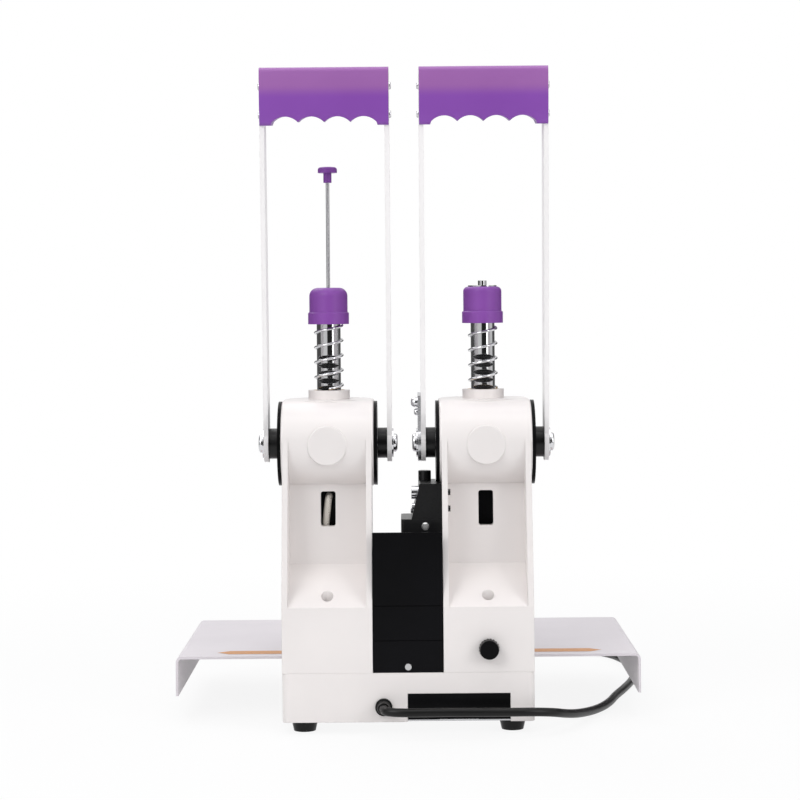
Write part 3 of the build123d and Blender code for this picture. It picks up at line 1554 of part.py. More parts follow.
# Coil of the lead left over, on the desk in front of the machine. It starts at its front,
# running right. The lower layer spirals in, a half turn climbs, and the upper one spirals out.
coil_y = at_depth(coil_center_depth)
coil_low = tie_thickness + slip + lead_radius
coil_high = coil_low + coil_pitch
half_turns = 2 * coil_turns
coil_step = coil_pitch / 2
lead_in = 2 * lead_radius
inward = [coil_radius - step * coil_step for step in range(half_turns)]
climb_radius = coil_radius - half_turns * coil_step
outward = list(reversed(inward))[:-1]
coil_front = coil_y - coil_radius
with BuildPart() as power_lead_coil:
    with BuildLine() as coil_path:
        Line((coil_center_x - lead_in, coil_front, coil_low), (coil_center_x, coil_front, coil_low))
        samples = []
        start = Vector(coil_center_x, coil_front, coil_low)
        heading = 1
        for index, radius in enumerate(inward + [climb_radius] + outward):
            rise = coil_pitch if index == half_turns else 0
            side = start + Vector(heading * radius, heading * radius, rise / 2)
            end = start + Vector(0, heading * 2 * radius, rise)
            across = Vector(0, heading * 2 * radius, rise * 1.5)
            biarc(start, (heading, 0, 0), side, across)
            biarc(side, across, end, (-heading, 0, 0))
            for step in range(arc_samples):
                turn = math.pi * step / arc_samples
                along = heading * radius * math.sin(turn)
                over = (end.Y - start.Y) * (1 - math.cos(turn)) / 2
                samples.append(start + Vector(along, over, rise * step / arc_samples))
            start = end
            heading = -heading
        tail_end = start + Vector(heading * coil_tail, 0, 0)
        Line(start, tail_end)
    with BuildSketch(Plane(origin=(coil_center_x - lead_in, coil_front, coil_low), z_dir=(1, 0, 0))):
        Circle(lead_radius)
    sweep(path=coil_path.wires()[0])
print("power_lead_coil least gap between turns", round(least_gap(samples, lead_radius, 20), 2))
print("power_lead_coil length", round(coil_path.wires()[0].length), "tail ends at", tuple(tail_end))
power_lead_coil.part.label = "power_lead_coil"
export_step(power_lead_coil.part, "parts/power_lead_coil.step")

# Power lead from the gland round the rear corner of the base, down to the desk, under the
# side of the table and forward to the coil
on_desk = lead_radius + 0.1
lead_points = [
    (gland_x, at_depth(-rear_projection), gland_z),
    (gland_x, at_depth(-18), gland_z),
    (11.5, at_depth(-24), 21.5),
    (-2, at_depth(-24.5), 21.3),
    (-28, at_depth(-22.5), 21.2),
    (-70, at_depth(-20.5), 20.5),
    (-110, at_depth(-14.5), 19.5),
    (-129, at_depth(14), 12),
    (-139, at_depth(48), 4.5),
    (-150, at_depth(80), on_desk),
    (-163.6, at_depth(113), on_desk),
    (-174, at_depth(140), on_desk),
    (-183.8, at_depth(168), on_desk),
    (-194.3, at_depth(210), on_desk),
    (-200.9, at_depth(247), on_desk),
    (-204, at_depth(285), on_desk),
    (-202, at_depth(320), on_desk),
    (-193, at_depth(352), on_desk),
    (-172, at_depth(378), on_desk),
    (-140, at_depth(388), on_desk),
    (-108, at_depth(385.5), on_desk),
    (-80, coil_front, coil_low),
    (coil_center_x - lead_in, coil_front, coil_low),
]
with BuildPart() as power_lead_run:
    add(tube(lead_points, even_radii(lead_points), lead_radius, "power_lead_run"))
power_lead_run.part.label = "power_lead_run"
export_step(power_lead_run.part, "parts/power_lead_run.step")

# Tie round the left side of the coil, lying on the desk
tie_left = coil_center_x - inward[1] - lead_radius - slip
tie_right = coil_center_x - inward[3] + 1 + lead_radius + slip
tie_low = coil_low - lead_radius - slip
tie_high = coil_high + lead_radius + slip
with BuildPart() as cord_tie:
    with BuildSketch(Plane.XZ.offset(-coil_y - tie_width / 2)):
        with Locations(((tie_left + tie_right) / 2, (tie_low + tie_high) / 2)):
            tie_inner_width = tie_right - tie_left
            tie_inner_height = tie_high - tie_low
            RectangleRounded(
                tie_inner_width + 2 * tie_thickness, tie_inner_height + 2 * tie_thickness, 2 * tie_thickness
            )
            RectangleRounded(tie_inner_width, tie_inner_height, tie_thickness, mode=Mode.SUBTRACT)
    extrude(amount=tie_width)
cord_tie.part.label = "cord_tie"
export_step(cord_tie.part, "parts/cord_tie.step")

# Plug on the end of the coil
with BuildPart() as power_plug:
    with Locations(along_x(tail_end.X, tail_end.Y, tail_end.Z)):
        Cone(plug_neck, plug_radius, plug_taper, align=upward)
    with Locations(along_x(tail_end.X + plug_taper, tail_end.Y, tail_end.Z)):
        round_piece(plug_radius, plug_length - plug_taper)
    fillet(power_plug.edges().group_by(Axis.X)[-1], 2 * tie_thickness)
    for side in (-1, 1):
        pin_y = tail_end.Y + side * pin_spacing / 2
        with Locations(along_x(tail_end.X + plug_length, pin_y, tail_end.Z)):
            round_piece(pin_radius, pin_length)
power_plug.part.label = "power_plug"
export_step(power_plug.part, "parts/power_plug.step")
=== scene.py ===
import bpy
import json
import math
from mathutils import Matrix, Vector


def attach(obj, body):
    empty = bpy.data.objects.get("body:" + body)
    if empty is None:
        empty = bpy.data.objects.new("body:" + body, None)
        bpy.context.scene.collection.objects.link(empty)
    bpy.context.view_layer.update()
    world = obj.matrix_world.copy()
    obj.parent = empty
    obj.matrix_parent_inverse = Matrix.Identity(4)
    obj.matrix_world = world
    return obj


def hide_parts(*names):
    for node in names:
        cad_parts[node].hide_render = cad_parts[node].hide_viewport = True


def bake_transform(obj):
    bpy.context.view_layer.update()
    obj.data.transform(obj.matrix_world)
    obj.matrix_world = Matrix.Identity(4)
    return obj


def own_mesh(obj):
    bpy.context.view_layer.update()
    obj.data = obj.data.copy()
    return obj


# Binding machine, seen from behind. Metres, in the same frame as the solids.
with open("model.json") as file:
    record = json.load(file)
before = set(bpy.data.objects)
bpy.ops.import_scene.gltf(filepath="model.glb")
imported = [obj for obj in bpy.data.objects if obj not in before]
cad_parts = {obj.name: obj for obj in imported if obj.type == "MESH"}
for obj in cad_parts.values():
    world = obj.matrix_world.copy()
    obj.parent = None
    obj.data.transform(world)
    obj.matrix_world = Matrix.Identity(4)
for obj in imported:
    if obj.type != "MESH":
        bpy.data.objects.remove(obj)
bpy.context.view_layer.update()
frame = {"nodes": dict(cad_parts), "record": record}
nodes = frame["nodes"]

# Places on the solids that pieces and finishes follow
REAR_Y = 0.1275
RIVET_X = 0.064
PUNCH_X = -0.064
PIVOT_Y = 0.0655
PIVOT_Z = 0.2263
RACK_Y = 0.0385
TABLE_TOP = 0.052
CHANNEL_WALL_X = -0.0327


def at_depth(depth):
    """Y of a place this many millimetres forward of the base's rear face."""
    return REAR_Y - depth / 1000


# Camera
CAMERA_DISTANCE = 1.7
CAMERA_HEIGHT = 0.343
CAMERA_X = -0.0012
CAMERA_ROLL = math.radians(-0.47)
CAMERA_SHIFT_X = -0.0085
CAMERA_SHIFT_Y = -0.125
LENS = 96.8
SENSOR_WIDTH = 36.0
FARTHEST_SEEN = 50.0
camera_data = bpy.data.cameras.new("camera")
camera_data.lens = LENS
camera_data.sensor_width = SENSOR_WIDTH
camera_data.shift_x = CAMERA_SHIFT_X
camera_data.shift_y = CAMERA_SHIFT_Y
camera_data.clip_end = FARTHEST_SEEN
camera = bpy.data.objects.new("camera", camera_data)
bpy.context.scene.collection.objects.link(camera)
camera.matrix_world = (
    Matrix.Translation((CAMERA_X, REAR_Y + CAMERA_DISTANCE, CAMERA_HEIGHT))
    @ Matrix.Rotation(math.pi, 4, "Z")
    @ Matrix.Rotation(math.pi / 2, 4, "X")
    @ Matrix.Rotation(CAMERA_ROLL, 4, "Z")
)
bpy.context.scene.camera = camera
bpy.context.scene.view_settings.view_transform = "Standard"


# Materials
NOISE_LOW = 0.3
NOISE_HIGH = 0.7
BEVEL_SAMPLES = 4
COAT_ROUGHNESS = 0.15


def new_material(name):
    """A material with one plain shader, its node tree and the shader."""
    material = bpy.data.materials.new(name)
    material.use_nodes = True
    tree = material.node_tree
    tree.nodes.clear()
    output = tree.nodes.new("ShaderNodeOutputMaterial")
    shader = tree.nodes.new("ShaderNodeBsdfPrincipled")
    tree.links.new(shader.outputs[0], output.inputs[0])
    return material, tree, shader


def noise_node(tree, scale, detail, stretch=(1, 1, 1)):
    """Noise in object space, in features per metre; stretch makes it finer along an axis."""
    place = tree.nodes.new("ShaderNodeTexCoord")
    mapping = tree.nodes.new("ShaderNodeMapping")
    mapping.inputs["Scale"].default_value = stretch
    noise = tree.nodes.new("ShaderNodeTexNoise")
    noise.inputs["Scale"].default_value = scale
    noise.inputs["Detail"].default_value = detail
    tree.links.new(place.outputs["Object"], mapping.inputs["Vector"])
    tree.links.new(mapping.outputs["Vector"], noise.inputs["Vector"])
    return noise


def color_between(tree, driver, dark, light):
    """A colour that goes from dark to light as the driving noise rises."""
    ramp = tree.nodes.new("ShaderNodeValToRGB")
    ramp.color_ramp.elements[0].position = NOISE_LOW
    ramp.color_ramp.elements[0].color = (*dark, 1)
    ramp.color_ramp.elements[1].position = NOISE_HIGH
    ramp.color_ramp.elements[1].color = (*light, 1)
    tree.links.new(driver, ramp.inputs["Fac"])
    return ramp.outputs["Color"]


def value_between(tree, driver, low, high):
    """A number that goes from low to high as the driving noise rises."""
    span = tree.nodes.new("ShaderNodeMapRange")
    span.inputs["From Min"].default_value = NOISE_LOW
    span.inputs["From Max"].default_value = NOISE_HIGH
    span.inputs["To Min"].default_value = low
    span.inputs["To Max"].default_value = high
    tree.links.new(driver, span.inputs["Value"])
    return span.outputs["Result"]


def add_bump(tree, shader, driver, distance, strength, edge=0.0):
    """A fine relief, over edges that are eased by this radius."""
    bump = tree.nodes.new("ShaderNodeBump")
    bump.inputs["Distance"].default_value = distance
    bump.inputs["Strength"].default_value = strength
    tree.links.new(driver, bump.inputs["Height"])
    if edge > 0:
        soft = tree.nodes.new("ShaderNodeBevel")
        soft.samples = BEVEL_SAMPLES
        soft.inputs["Radius"].default_value = edge
        tree.links.new(soft.outputs["Normal"], bump.inputs["Normal"])
    tree.links.new(bump.outputs["Normal"], shader.inputs["Normal"])


def surface(
    name, dark, light, rough, metallic=0.0, patches=12.0, grain=900.0, bump=0.00005, strength=0.25,
    edge=0.0004, stretch=(1, 1, 1), coat=0.0, specular=0.5,
):
    """A finish with soft patches of colour, uneven roughness, a fine grain and eased edges."""
    material, tree, shader = new_material(name)
    broad = noise_node(tree, patches, 3)
    fine = noise_node(tree, grain, 2, stretch)
    tree.links.new(color_between(tree, broad.outputs["Fac"], dark, light), shader.inputs["Base Color"])
    tree.links.new(value_between(tree, fine.outputs["Fac"], rough[0], rough[1]), shader.inputs["Roughness"])
    shader.inputs["Metallic"].default_value = metallic
    shader.inputs["Coat Weight"].default_value = coat
    shader.inputs["Coat Roughness"].default_value = COAT_ROUGHNESS
    shader.inputs["Specular IOR Level"].default_value = specular
    add_bump(tree, shader, fine.outputs["Fac"], bump, strength, edge)
    return material


white_paint = surface(
    "white_paint", (0.78, 0.742, 0.726), (0.83, 0.788, 0.770), (0.30, 0.40), grain=700, bump=0.00012,
    strength=0.35, edge=0.0008, coat=0.25,
)
arm_paint = surface(
    "arm_paint", (0.87, 0.85, 0.845), (0.91, 0.89, 0.885), (0.30, 0.40), grain=900, bump=0.00008,
    strength=0.3, edge=0.0004, coat=0.2,
)
table_paint = surface(
    "table_paint", (0.65, 0.61, 0.64), (0.70, 0.66, 0.69), (0.36, 0.48), grain=1400, bump=0.0001,
    strength=0.4, edge=0.0004,
)
purple_plastic = surface(
    "purple_plastic", (0.220, 0.057, 0.345), (0.246, 0.068, 0.382), (0.38, 0.50), grain=2200,
    bump=0.00005, strength=0.35, edge=0.0006, specular=0.4,
)
black_plastic = surface(
    "black_plastic", (0.003, 0.003, 0.003), (0.005, 0.005, 0.006), (0.24, 0.34), grain=2600,
    bump=0.00004, strength=0.3, edge=0.0005, specular=0.06,
)
black_steel = surface(
    "black_steel", (0.006, 0.006, 0.006), (0.011, 0.011, 0.012), (0.26, 0.38), grain=1800,
    strength=0.3, specular=0.3,
)
bright_steel = surface(
    "bright_steel", (0.52, 0.52, 0.54), (0.64, 0.64, 0.66), (0.20, 0.34), metallic=1.0,
    grain=500, stretch=(1, 1, 14), bump=0.00003, strength=0.3,
)
chrome = surface(
    "chrome", (0.66, 0.66, 0.68), (0.74, 0.74, 0.76), (0.09, 0.17), metallic=1.0, grain=600,
    bump=0.00002, strength=0.2, edge=0.0003,
)
dark_chrome = surface(
    "dark_chrome", (0.46, 0.46, 0.47), (0.52, 0.52, 0.53), (0.05, 0.09), metallic=1.0, grain=900,
    stretch=(1, 1, 0.1), bump=0.00001, strength=0.1, edge=0.0002,
)
bronze = surface(
    "bronze", (0.42, 0.27, 0.11), (0.52, 0.35, 0.16), (0.28, 0.42), metallic=1.0, grain=900,
)
aluminium = surface(
    "aluminium", (0.60, 0.60, 0.61), (0.70, 0.70, 0.71), (0.26, 0.38), metallic=1.0, grain=420,
    stretch=(8, 1, 1), bump=0.00004, strength=0.35,
)
rubber = surface(
    "rubber", (0.003, 0.003, 0.003), (0.007, 0.007, 0.007), (0.30, 0.42), grain=1600, strength=0.4,
    specular=0.24,
)
insulator = surface(
    "insulator", (0.55, 0.50, 0.40), (0.64, 0.59, 0.49), (0.50, 0.66), patches=60, grain=1500,
)
amber_print = surface(
    "amber_print", (0.50, 0.205, 0.06), (0.62, 0.28, 0.09), (0.40, 0.52), patches=420, grain=2400,
    strength=0.2, edge=0.0,
)
red_lens = surface(
    "red_lens", (0.45, 0.012, 0.010), (0.55, 0.02, 0.015), (0.12, 0.20), grain=300, coat=0.5,
)


# Height and fade of the grips' painted sheen: a paler band on the upper half that stands in for a
# reflection
GRIP_MIDDLE_Z = 0.510
FADE_BELOW = 0.005
FADE_ABOVE = 0.006
SLEEVE_THREAD_TURN = 0.7
SLEEVE_THREADS = 260


def purple_with_painted_sheen():
    """The grips' plastic: deep purple, with a painted sheen that makes it paler and warmer above the middle
    of the grip.
    """
    material, tree, shader = new_material("grip_purple_painted_sheen")
    place = tree.nodes.new("ShaderNodeTexCoord")
    parts = tree.nodes.new("ShaderNodeSeparateXYZ")
    tree.links.new(place.outputs["Object"], parts.inputs[0])
    rise = tree.nodes.new("ShaderNodeMapRange")
    rise.interpolation_type = "SMOOTHSTEP"
    rise.inputs["From Min"].default_value = GRIP_MIDDLE_Z - FADE_BELOW
    rise.inputs["From Max"].default_value = GRIP_MIDDLE_Z + FADE_ABOVE
    tree.links.new(parts.outputs["Z"], rise.inputs["Value"])
    broad = noise_node(tree, 12, 3)
    fine = noise_node(tree, 2200, 2)
    low = color_between(tree, broad.outputs["Fac"], (0.214, 0.054, 0.372), (0.238, 0.066, 0.410))
    # Painted sheen: this paler, warmer colour of the upper half stands in for light reflected there
    high = color_between(tree, broad.outputs["Fac"], (0.292, 0.102, 0.352), (0.325, 0.120, 0.384))
    mix = tree.nodes.new("ShaderNodeMix")
    mix.data_type = "RGBA"
    tree.links.new(rise.outputs["Result"], mix.inputs["Factor"])
    tree.links.new(low, mix.inputs["A"])
    tree.links.new(high, mix.inputs["B"])
    tree.links.new(mix.outputs["Result"], shader.inputs["Base Color"])
    tree.links.new(value_between(tree, fine.outputs["Fac"], 0.34, 0.46), shader.inputs["Roughness"])
    shader.inputs["Specular IOR Level"].default_value = 0.5
    add_bump(tree, shader, fine.outputs["Fac"], 0.00005, 0.35, 0.0006)
    return material


def screw_steel_with_painted_shade():
    """Bright screws, painted black as shade where they sit inside the punching column's channel."""
    material, tree, shader = new_material("cutter_screw_steel_with_painted_shade")
    place = tree.nodes.new("ShaderNodeTexCoord")
    parts = tree.nodes.new("ShaderNodeSeparateXYZ")
    tree.links.new(place.outputs["Object"], parts.inputs[0])
    # Painted shade: screws inside the channel get a black, non-metallic colour in place of the shade there
    outside = tree.nodes.new("ShaderNodeMath")
    outside.operation = "GREATER_THAN"
    outside.inputs[1].default_value = CHANNEL_WALL_X
    tree.links.new(parts.outputs["X"], outside.inputs[0])
    fine = noise_node(tree, 900, 2)
    shine = color_between(tree, fine.outputs["Fac"], (0.60, 0.60, 0.62), (0.72, 0.72, 0.74))
    mix = tree.nodes.new("ShaderNodeMix")
    mix.data_type = "RGBA"
    mix.inputs["A"].default_value = (0.006, 0.006, 0.007, 1)
    tree.links.new(outside.outputs[0], mix.inputs["Factor"])
    tree.links.new(shine, mix.inputs["B"])
    tree.links.new(mix.outputs["Result"], shader.inputs["Base Color"])
    tree.links.new(outside.outputs[0], shader.inputs["Metallic"])
    tree.links.new(value_between(tree, fine.outputs["Fac"], 0.12, 0.22), shader.inputs["Roughness"])
    add_bump(tree, shader, fine.outputs["Fac"], 0.00002, 0.2, 0.0003)
    return material


def woven_sleeve():
    """Glass-fibre sleeve: two crossing bands of threads."""
    material, tree, shader = new_material("white_sleeve")
    place = tree.nodes.new("ShaderNodeTexCoord")
    heights = []
    for turn in (SLEEVE_THREAD_TURN, -SLEEVE_THREAD_TURN):
        mapping = tree.nodes.new("ShaderNodeMapping")
        mapping.inputs["Rotation"].default_value = (turn, turn, 0)
        wave = tree.nodes.new("ShaderNodeTexWave")
        wave.bands_direction = "Z"
        wave.inputs["Scale"].default_value = SLEEVE_THREADS
        tree.links.new(place.outputs["Object"], mapping.inputs["Vector"])
        tree.links.new(mapping.outputs["Vector"], wave.inputs["Vector"])
        heights.append(wave.outputs["Fac"])
    most = tree.nodes.new("ShaderNodeMath")
    most.operation = "MAXIMUM"
    tree.links.new(heights[0], most.inputs[0])
    tree.links.new(heights[1], most.inputs[1])
    color = color_between(tree, most.outputs[0], (0.42, 0.38, 0.33), (0.80, 0.76, 0.69))
    tree.links.new(color, shader.inputs["Base Color"])
    shader.inputs["Roughness"].default_value = 0.75
    add_bump(tree, shader, most.outputs[0], 0.0002, 0.6)
    return material


grip_purple_painted_sheen = purple_with_painted_sheen()
white_sleeve = woven_sleeve()
finishes = {
    "white_paint": white_paint,
    "table_paint": table_paint,
    "purple_plastic": purple_plastic,
    "black_plastic": black_plastic,
    "black_steel": black_steel,
    "bright_steel": bright_steel,
    "chrome": chrome,
    "bronze": bronze,
    "aluminium": aluminium,
    "rubber": rubber,
    "insulator": insulator,
    "red_lens": red_lens,
    "white_sleeve": white_sleeve,
}


def dress(piece, material):
    """Give a piece this material alone."""
    piece.data.materials.clear()
    piece.data.materials.append(material)


# Nodes whose finish differs from the rest of their slot
own_finishes = {
    "rivet_rack": dark_chrome,
    "punch_rack": dark_chrome,
    "rivet_grip": grip_purple_painted_sheen,
    "punch_grip": grip_purple_painted_sheen,
    "cutter_screws": screw_steel_with_painted_shade(),
    "rivet_outer_arm": arm_paint,
    "rivet_inner_arm": arm_paint,
    "punch_inner_arm": arm_paint,
    "punch_outer_arm": arm_paint,
    "punch_cap_screw": dark_chrome,
    "base_screws": dark_chrome,
}
for part in frame["record"]["subparts"]:
    name = part["node"]
    dress(nodes[name], own_finishes.get(name, finishes[part["material_slot"]]))


# Ways to make a piece
def add_piece(name, corners, faces, material, body):
    """A mesh piece from its corners and faces, dressed, and riding on a body if one is named."""
    mesh = bpy.data.meshes.new(name)
    mesh.from_pydata(corners, [], faces)
    mesh.update()
    piece = bpy.data.objects.new(name, mesh)
    bpy.context.scene.collection.objects.link(piece)
    dress(piece, material)
    if body:
        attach(piece, body)
    return piece


def add_tube(name, path, radius, sides, material, body):
    """A round wire along a path of points, closed at both ends."""
    corners = []
    side = (path[1] - path[0]).orthogonal().normalized()
    for index, point in enumerate(path):
        ahead = (path[min(index + 1, len(path) - 1)] - path[max(index - 1, 0)]).normalized()
        side = (side - ahead * side.dot(ahead)).normalized()
        across = ahead.cross(side)
        for step in range(sides):
            turn = 2 * math.pi * step / sides
            corners.append(point + radius * (math.cos(turn) * side + math.sin(turn) * across))
    faces = [tuple(reversed(range(sides)))]
    for ring in range(len(path) - 1):
        for step in range(sides):
            first = ring * sides + step
            second = ring * sides + (step + 1) % sides
            faces.append((first, second, second + sides, first + sides))
    faces.append(tuple(range((len(path) - 1) * sides, len(path) * sides)))
    piece = add_piece(name, corners, faces, material, body)
    for face in piece.data.polygons[1:-1]:
        face.use_smooth = True
    return piece


def smooth_curve(name, route, resolution):
    """A curve of one smooth spline that has the route's points as its control points."""
    curve = bpy.data.curves.new(name, "CURVE")
    curve.dimensions = "3D"
    curve.resolution_u = resolution
    spline = curve.splines.new("NURBS")
    spline.points.add(len(route) - 1)
    for target, point in zip(spline.points, route):
        target.co = (*point, 1)
    spline.order_u = 3
    spline.use_endpoint_u = True
    return curve


def points_along(curve):
    """The points of a curve with no bevel; the curve itself isn't kept."""
    line = bpy.data.objects.new(curve.name, curve)
    mesh = bpy.data.meshes.new_from_object(line)
    points = [vertex.co.copy() for vertex in mesh.vertices]
    bpy.data.objects.remove(line)
    bpy.data.meshes.remove(mesh)
    bpy.data.curves.remove(curve)
    return points


# Black sheet inside the hollow of each column, open to the rear: painted shade, standing in for the shade
# inside the hollow
WELL_HALF = 0.0239
WELL_REAR = at_depth(52.1)
WELL_FRONT = at_depth(58.2)
WELL_LOW = 0.0561
WELL_TOP = 0.1879


def well_shade_sheet(center_x, name):
    """The inner side and the four walls of one hollow, in black as painted shade."""
    left = center_x - WELL_HALF
    right = center_x + WELL_HALF
    corners = [
        (x, y, z) for y in (WELL_REAR, WELL_FRONT) for x, z in
        ((left, WELL_LOW), (right, WELL_LOW), (right, WELL_TOP), (left, WELL_TOP))
    ]
    faces = [(4, 5, 6, 7), (0, 4, 5, 1), (1, 5, 6, 2), (2, 6, 7, 3), (3, 7, 4, 0)]
    return add_piece(name, corners, faces, black_plastic, "base")


well_shade_sheet(RIVET_X, "rivet_well_shade_sheet")
well_shade_sheet(PUNCH_X, "punch_well_shade_sheet")

# Plain amber strips on the table, one beside each column, pointed at the outer end
STRIP_Y = at_depth(82)
STRIP_REAR = at_depth(74)
STRIP_FRONT = at_depth(90)
PRINT_THICKNESS = 0.00012
STRIP_Z = TABLE_TOP + PRINT_THICKNESS
STRIP_START = 0.104
LEFT_SHOULDER = 0.148
RIGHT_SHOULDER = 0.150
STRIP_TIP = 0.010


def table_strip(side, shoulder, name):
    """One strip, from beside its column to its tip; side is 1 on the left and -1 on the right."""
    outline = [
        (STRIP_START, STRIP_FRONT), (shoulder, STRIP_FRONT), (shoulder + STRIP_TIP, STRIP_Y),
        (shoulder, STRIP_REAR), (STRIP_START, STRIP_REAR),
    ]
    corners = [(side * x, y, STRIP_Z) for x, y in outline]
    return add_piece(name, corners, [(0, 1, 2, 3, 4)], amber_print, "base")


table_strip(1, LEFT_SHOULDER, "left_table_strip")
table_strip(-1, RIGHT_SHOULDER, "right_table_strip")

# Linings on the roofs of the grips' finger scallops, which are as shallow as in the photo
GRIP_LOW = 0.2595
GRIP_HALF_HEIGHT = 0.02325
GRIP_HALF_DEPTH = 0.016
GRIP_BULGE = 0.0025
GRIP_CORNER = 0.004
LEVER_LEAN = math.radians(5.0)
SCALLOP_COUNT = 4
SCALLOP_PITCH = 0.021
CUT_RADIUS = 0.0117
CUT_DEPTH = 0.0091
SCALLOP_RADIUS = 0.0145
SCALLOP_DEPTH = 0.0072
LINING_HALF = 0.0101
LINING_STEPS = 24


def notch_height(offset, radius, depth):
    """How far above the grip's low side a round notch lies, this far from its middle."""
    return depth - radius + math.sqrt(radius ** 2 - offset ** 2)


def grip_half_depth(height):
    """Half the grip's depth at this height above its low side."""
    bulge_radius = (GRIP_HALF_HEIGHT ** 2 + GRIP_BULGE ** 2) / (2 * GRIP_BULGE)
    rise = height - GRIP_HALF_HEIGHT
    depth = GRIP_HALF_DEPTH + GRIP_BULGE - bulge_radius + math.sqrt(bulge_radius ** 2 - rise ** 2)
    if height < GRIP_CORNER:
        depth -= GRIP_CORNER - math.sqrt(GRIP_CORNER ** 2 - (GRIP_CORNER - height) ** 2)
    return depth


def scallop_lining(center_x, index, name, body):
    """A crescent along the roof of one notch, right through the grip."""
    middle_x = center_x + (index - (SCALLOP_COUNT - 1) / 2) * SCALLOP_PITCH
    away = Vector((0, -math.cos(LEVER_LEAN), math.sin(LEVER_LEAN)))
    up = Vector((0, math.sin(LEVER_LEAN), math.cos(LEVER_LEAN)))
    steps = LINING_STEPS
    corners = []
    for step in range(steps + 1):
        offset = LINING_HALF * (2 * step / steps - 1)
        low = notch_height(offset, SCALLOP_RADIUS, SCALLOP_DEPTH)
        high = notch_height(offset, CUT_RADIUS, CUT_DEPTH)
        start = Vector((middle_x + offset, PIVOT_Y, PIVOT_Z)) + up * GRIP_LOW
        for side, height in ((-1, low), (1, low), (1, high), (-1, high)):
            corners.append(start + up * height + away * side * grip_half_depth(height))
    faces = [(0, 1, 2, 3), (4 * steps + 3, 4 * steps + 2, 4 * steps + 1, 4 * steps)]
    for step in range(steps):
        for corner in range(4):
            first = 4 * step + corner
            second = 4 * step + (corner + 1) % 4
            faces.append((first, first + 4, second + 4, second))
    return add_piece(name, corners, faces, grip_purple_painted_sheen, body)


for index in range(SCALLOP_COUNT):
    scallop_lining(RIVET_X, index, "rivet_scallop_" + str(index + 1), "rivet_lever")
    scallop_lining(PUNCH_X, index, "punch_scallop_" + str(index + 1), "punch_lever")

# Return springs: open coils round the racks
SPRING_FOOT = 0.2688
SPRING_TOP = 0.3234
SPRING_SEAT_GAP = 0.0001
SPRING_WIRE = 0.002
SPRING_RADIUS = 0.0114
SPRING_TURNS = 4.25
STEPS_PER_TURN = 32
WIRE_SIDES = 12


def return_spring(center_x, first_quarter, node):
    """An open coil that stands for a node; its lower end lies at the first quarter of a turn."""
    low = SPRING_FOOT + SPRING_SEAT_GAP + SPRING_WIRE / 2
    rise = SPRING_TOP - SPRING_WIRE / 2 - low
    steps = round(STEPS_PER_TURN * SPRING_TURNS)
    path = []
    for step in range(steps + 1):
        angle = first_quarter * math.pi / 2 + 2 * math.pi * SPRING_TURNS * step / steps
        path.append(Vector((
            center_x + SPRING_RADIUS * math.cos(angle),
            RACK_Y + SPRING_RADIUS * math.sin(angle),
            low + rise * step / steps,
        )))
    piece = add_tube(node + "_coil", path, SPRING_WIRE / 2, WIRE_SIDES, chrome, "base")
    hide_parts(node)
    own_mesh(piece)


return_spring(RIVET_X, 1, "rivet_spring")
return_spring(PUNCH_X, 2, "punch_spring")

# Bare stretch of the heater's wire: fixed, from the column down to the heater's top
DROP_X = RIVET_X - 0.0005
DROP_Y = RACK_Y + 0.01465
DROP_RADIUS = 0.002
COLUMN_FRONT = at_depth(61.5)
DROP_CORNER = at_depth(69.5)
WIRE_EXIT_Z = 0.184
DROP_BEND_Z = 0.175
HEATER_TOP = 0.150
drop_points = [
    Vector((DROP_X, COLUMN_FRONT, WIRE_EXIT_Z)),
    Vector((DROP_X, DROP_CORNER, WIRE_EXIT_Z)),
    Vector((DROP_X, DROP_Y, DROP_BEND_Z)),
    Vector((DROP_X, DROP_Y, HEATER_TOP)),
]
drop_path = points_along(smooth_curve("heater_line", drop_points, 16))
heater_drop = add_tube(
    "heater_drop", drop_path, DROP_RADIUS, WIRE_SIDES, white_sleeve, None
)
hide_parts("heater_lead")
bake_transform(heater_drop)

# Power lead: one smooth line from the gland to the plug
LEAD_DIAMETER = 0.007
COIL_RADII = (0.043, 0.0392, 0.0354, 0.0316, 0.0278, 0.0316, 0.0354, 0.0392)
CLIMBING_HALF_TURN = 4
POINTS_PER_HALF_TURN = 8
COIL_X = -0.048
COIL_FRONT = at_depth(381)
COIL_LOW = 0.0051
COIL_PITCH = 0.0076
COIL_TAIL = 0.040
ON_DESK = 0.0036
lead_points = [
    (0.0196, at_depth(-9), 0.0216),
    (0.0196, at_depth(-18), 0.0216),
    (0.0115, at_depth(-24), 0.0215),
    (-0.002, at_depth(-24.5), 0.0213),
    (-0.028, at_depth(-22.5), 0.0212),
    (-0.070, at_depth(-20.5), 0.0205),
    (-0.110, at_depth(-14.5), 0.0195),
    (-0.129, at_depth(14), 0.012),
    (-0.144, at_depth(46), 0.0072),
    (-0.1575, at_depth(78), 0.0042),
    (-0.169, at_depth(108), ON_DESK),
    (-0.1765, at_depth(138), ON_DESK),
    (-0.1865, at_depth(168), ON_DESK),
    (-0.198, at_depth(208), ON_DESK),
    (-0.2055, at_depth(247), ON_DESK),
    (-0.208, at_depth(285), ON_DESK),
    (-0.202, at_depth(320), ON_DESK),
    (-0.193, at_depth(352), ON_DESK),
    (-0.172, at_depth(378), ON_DESK),
    (-0.140, at_depth(388), ON_DESK),
    (-0.108, at_depth(385.5), ON_DESK),
    (-0.080, COIL_FRONT, COIL_LOW),
]


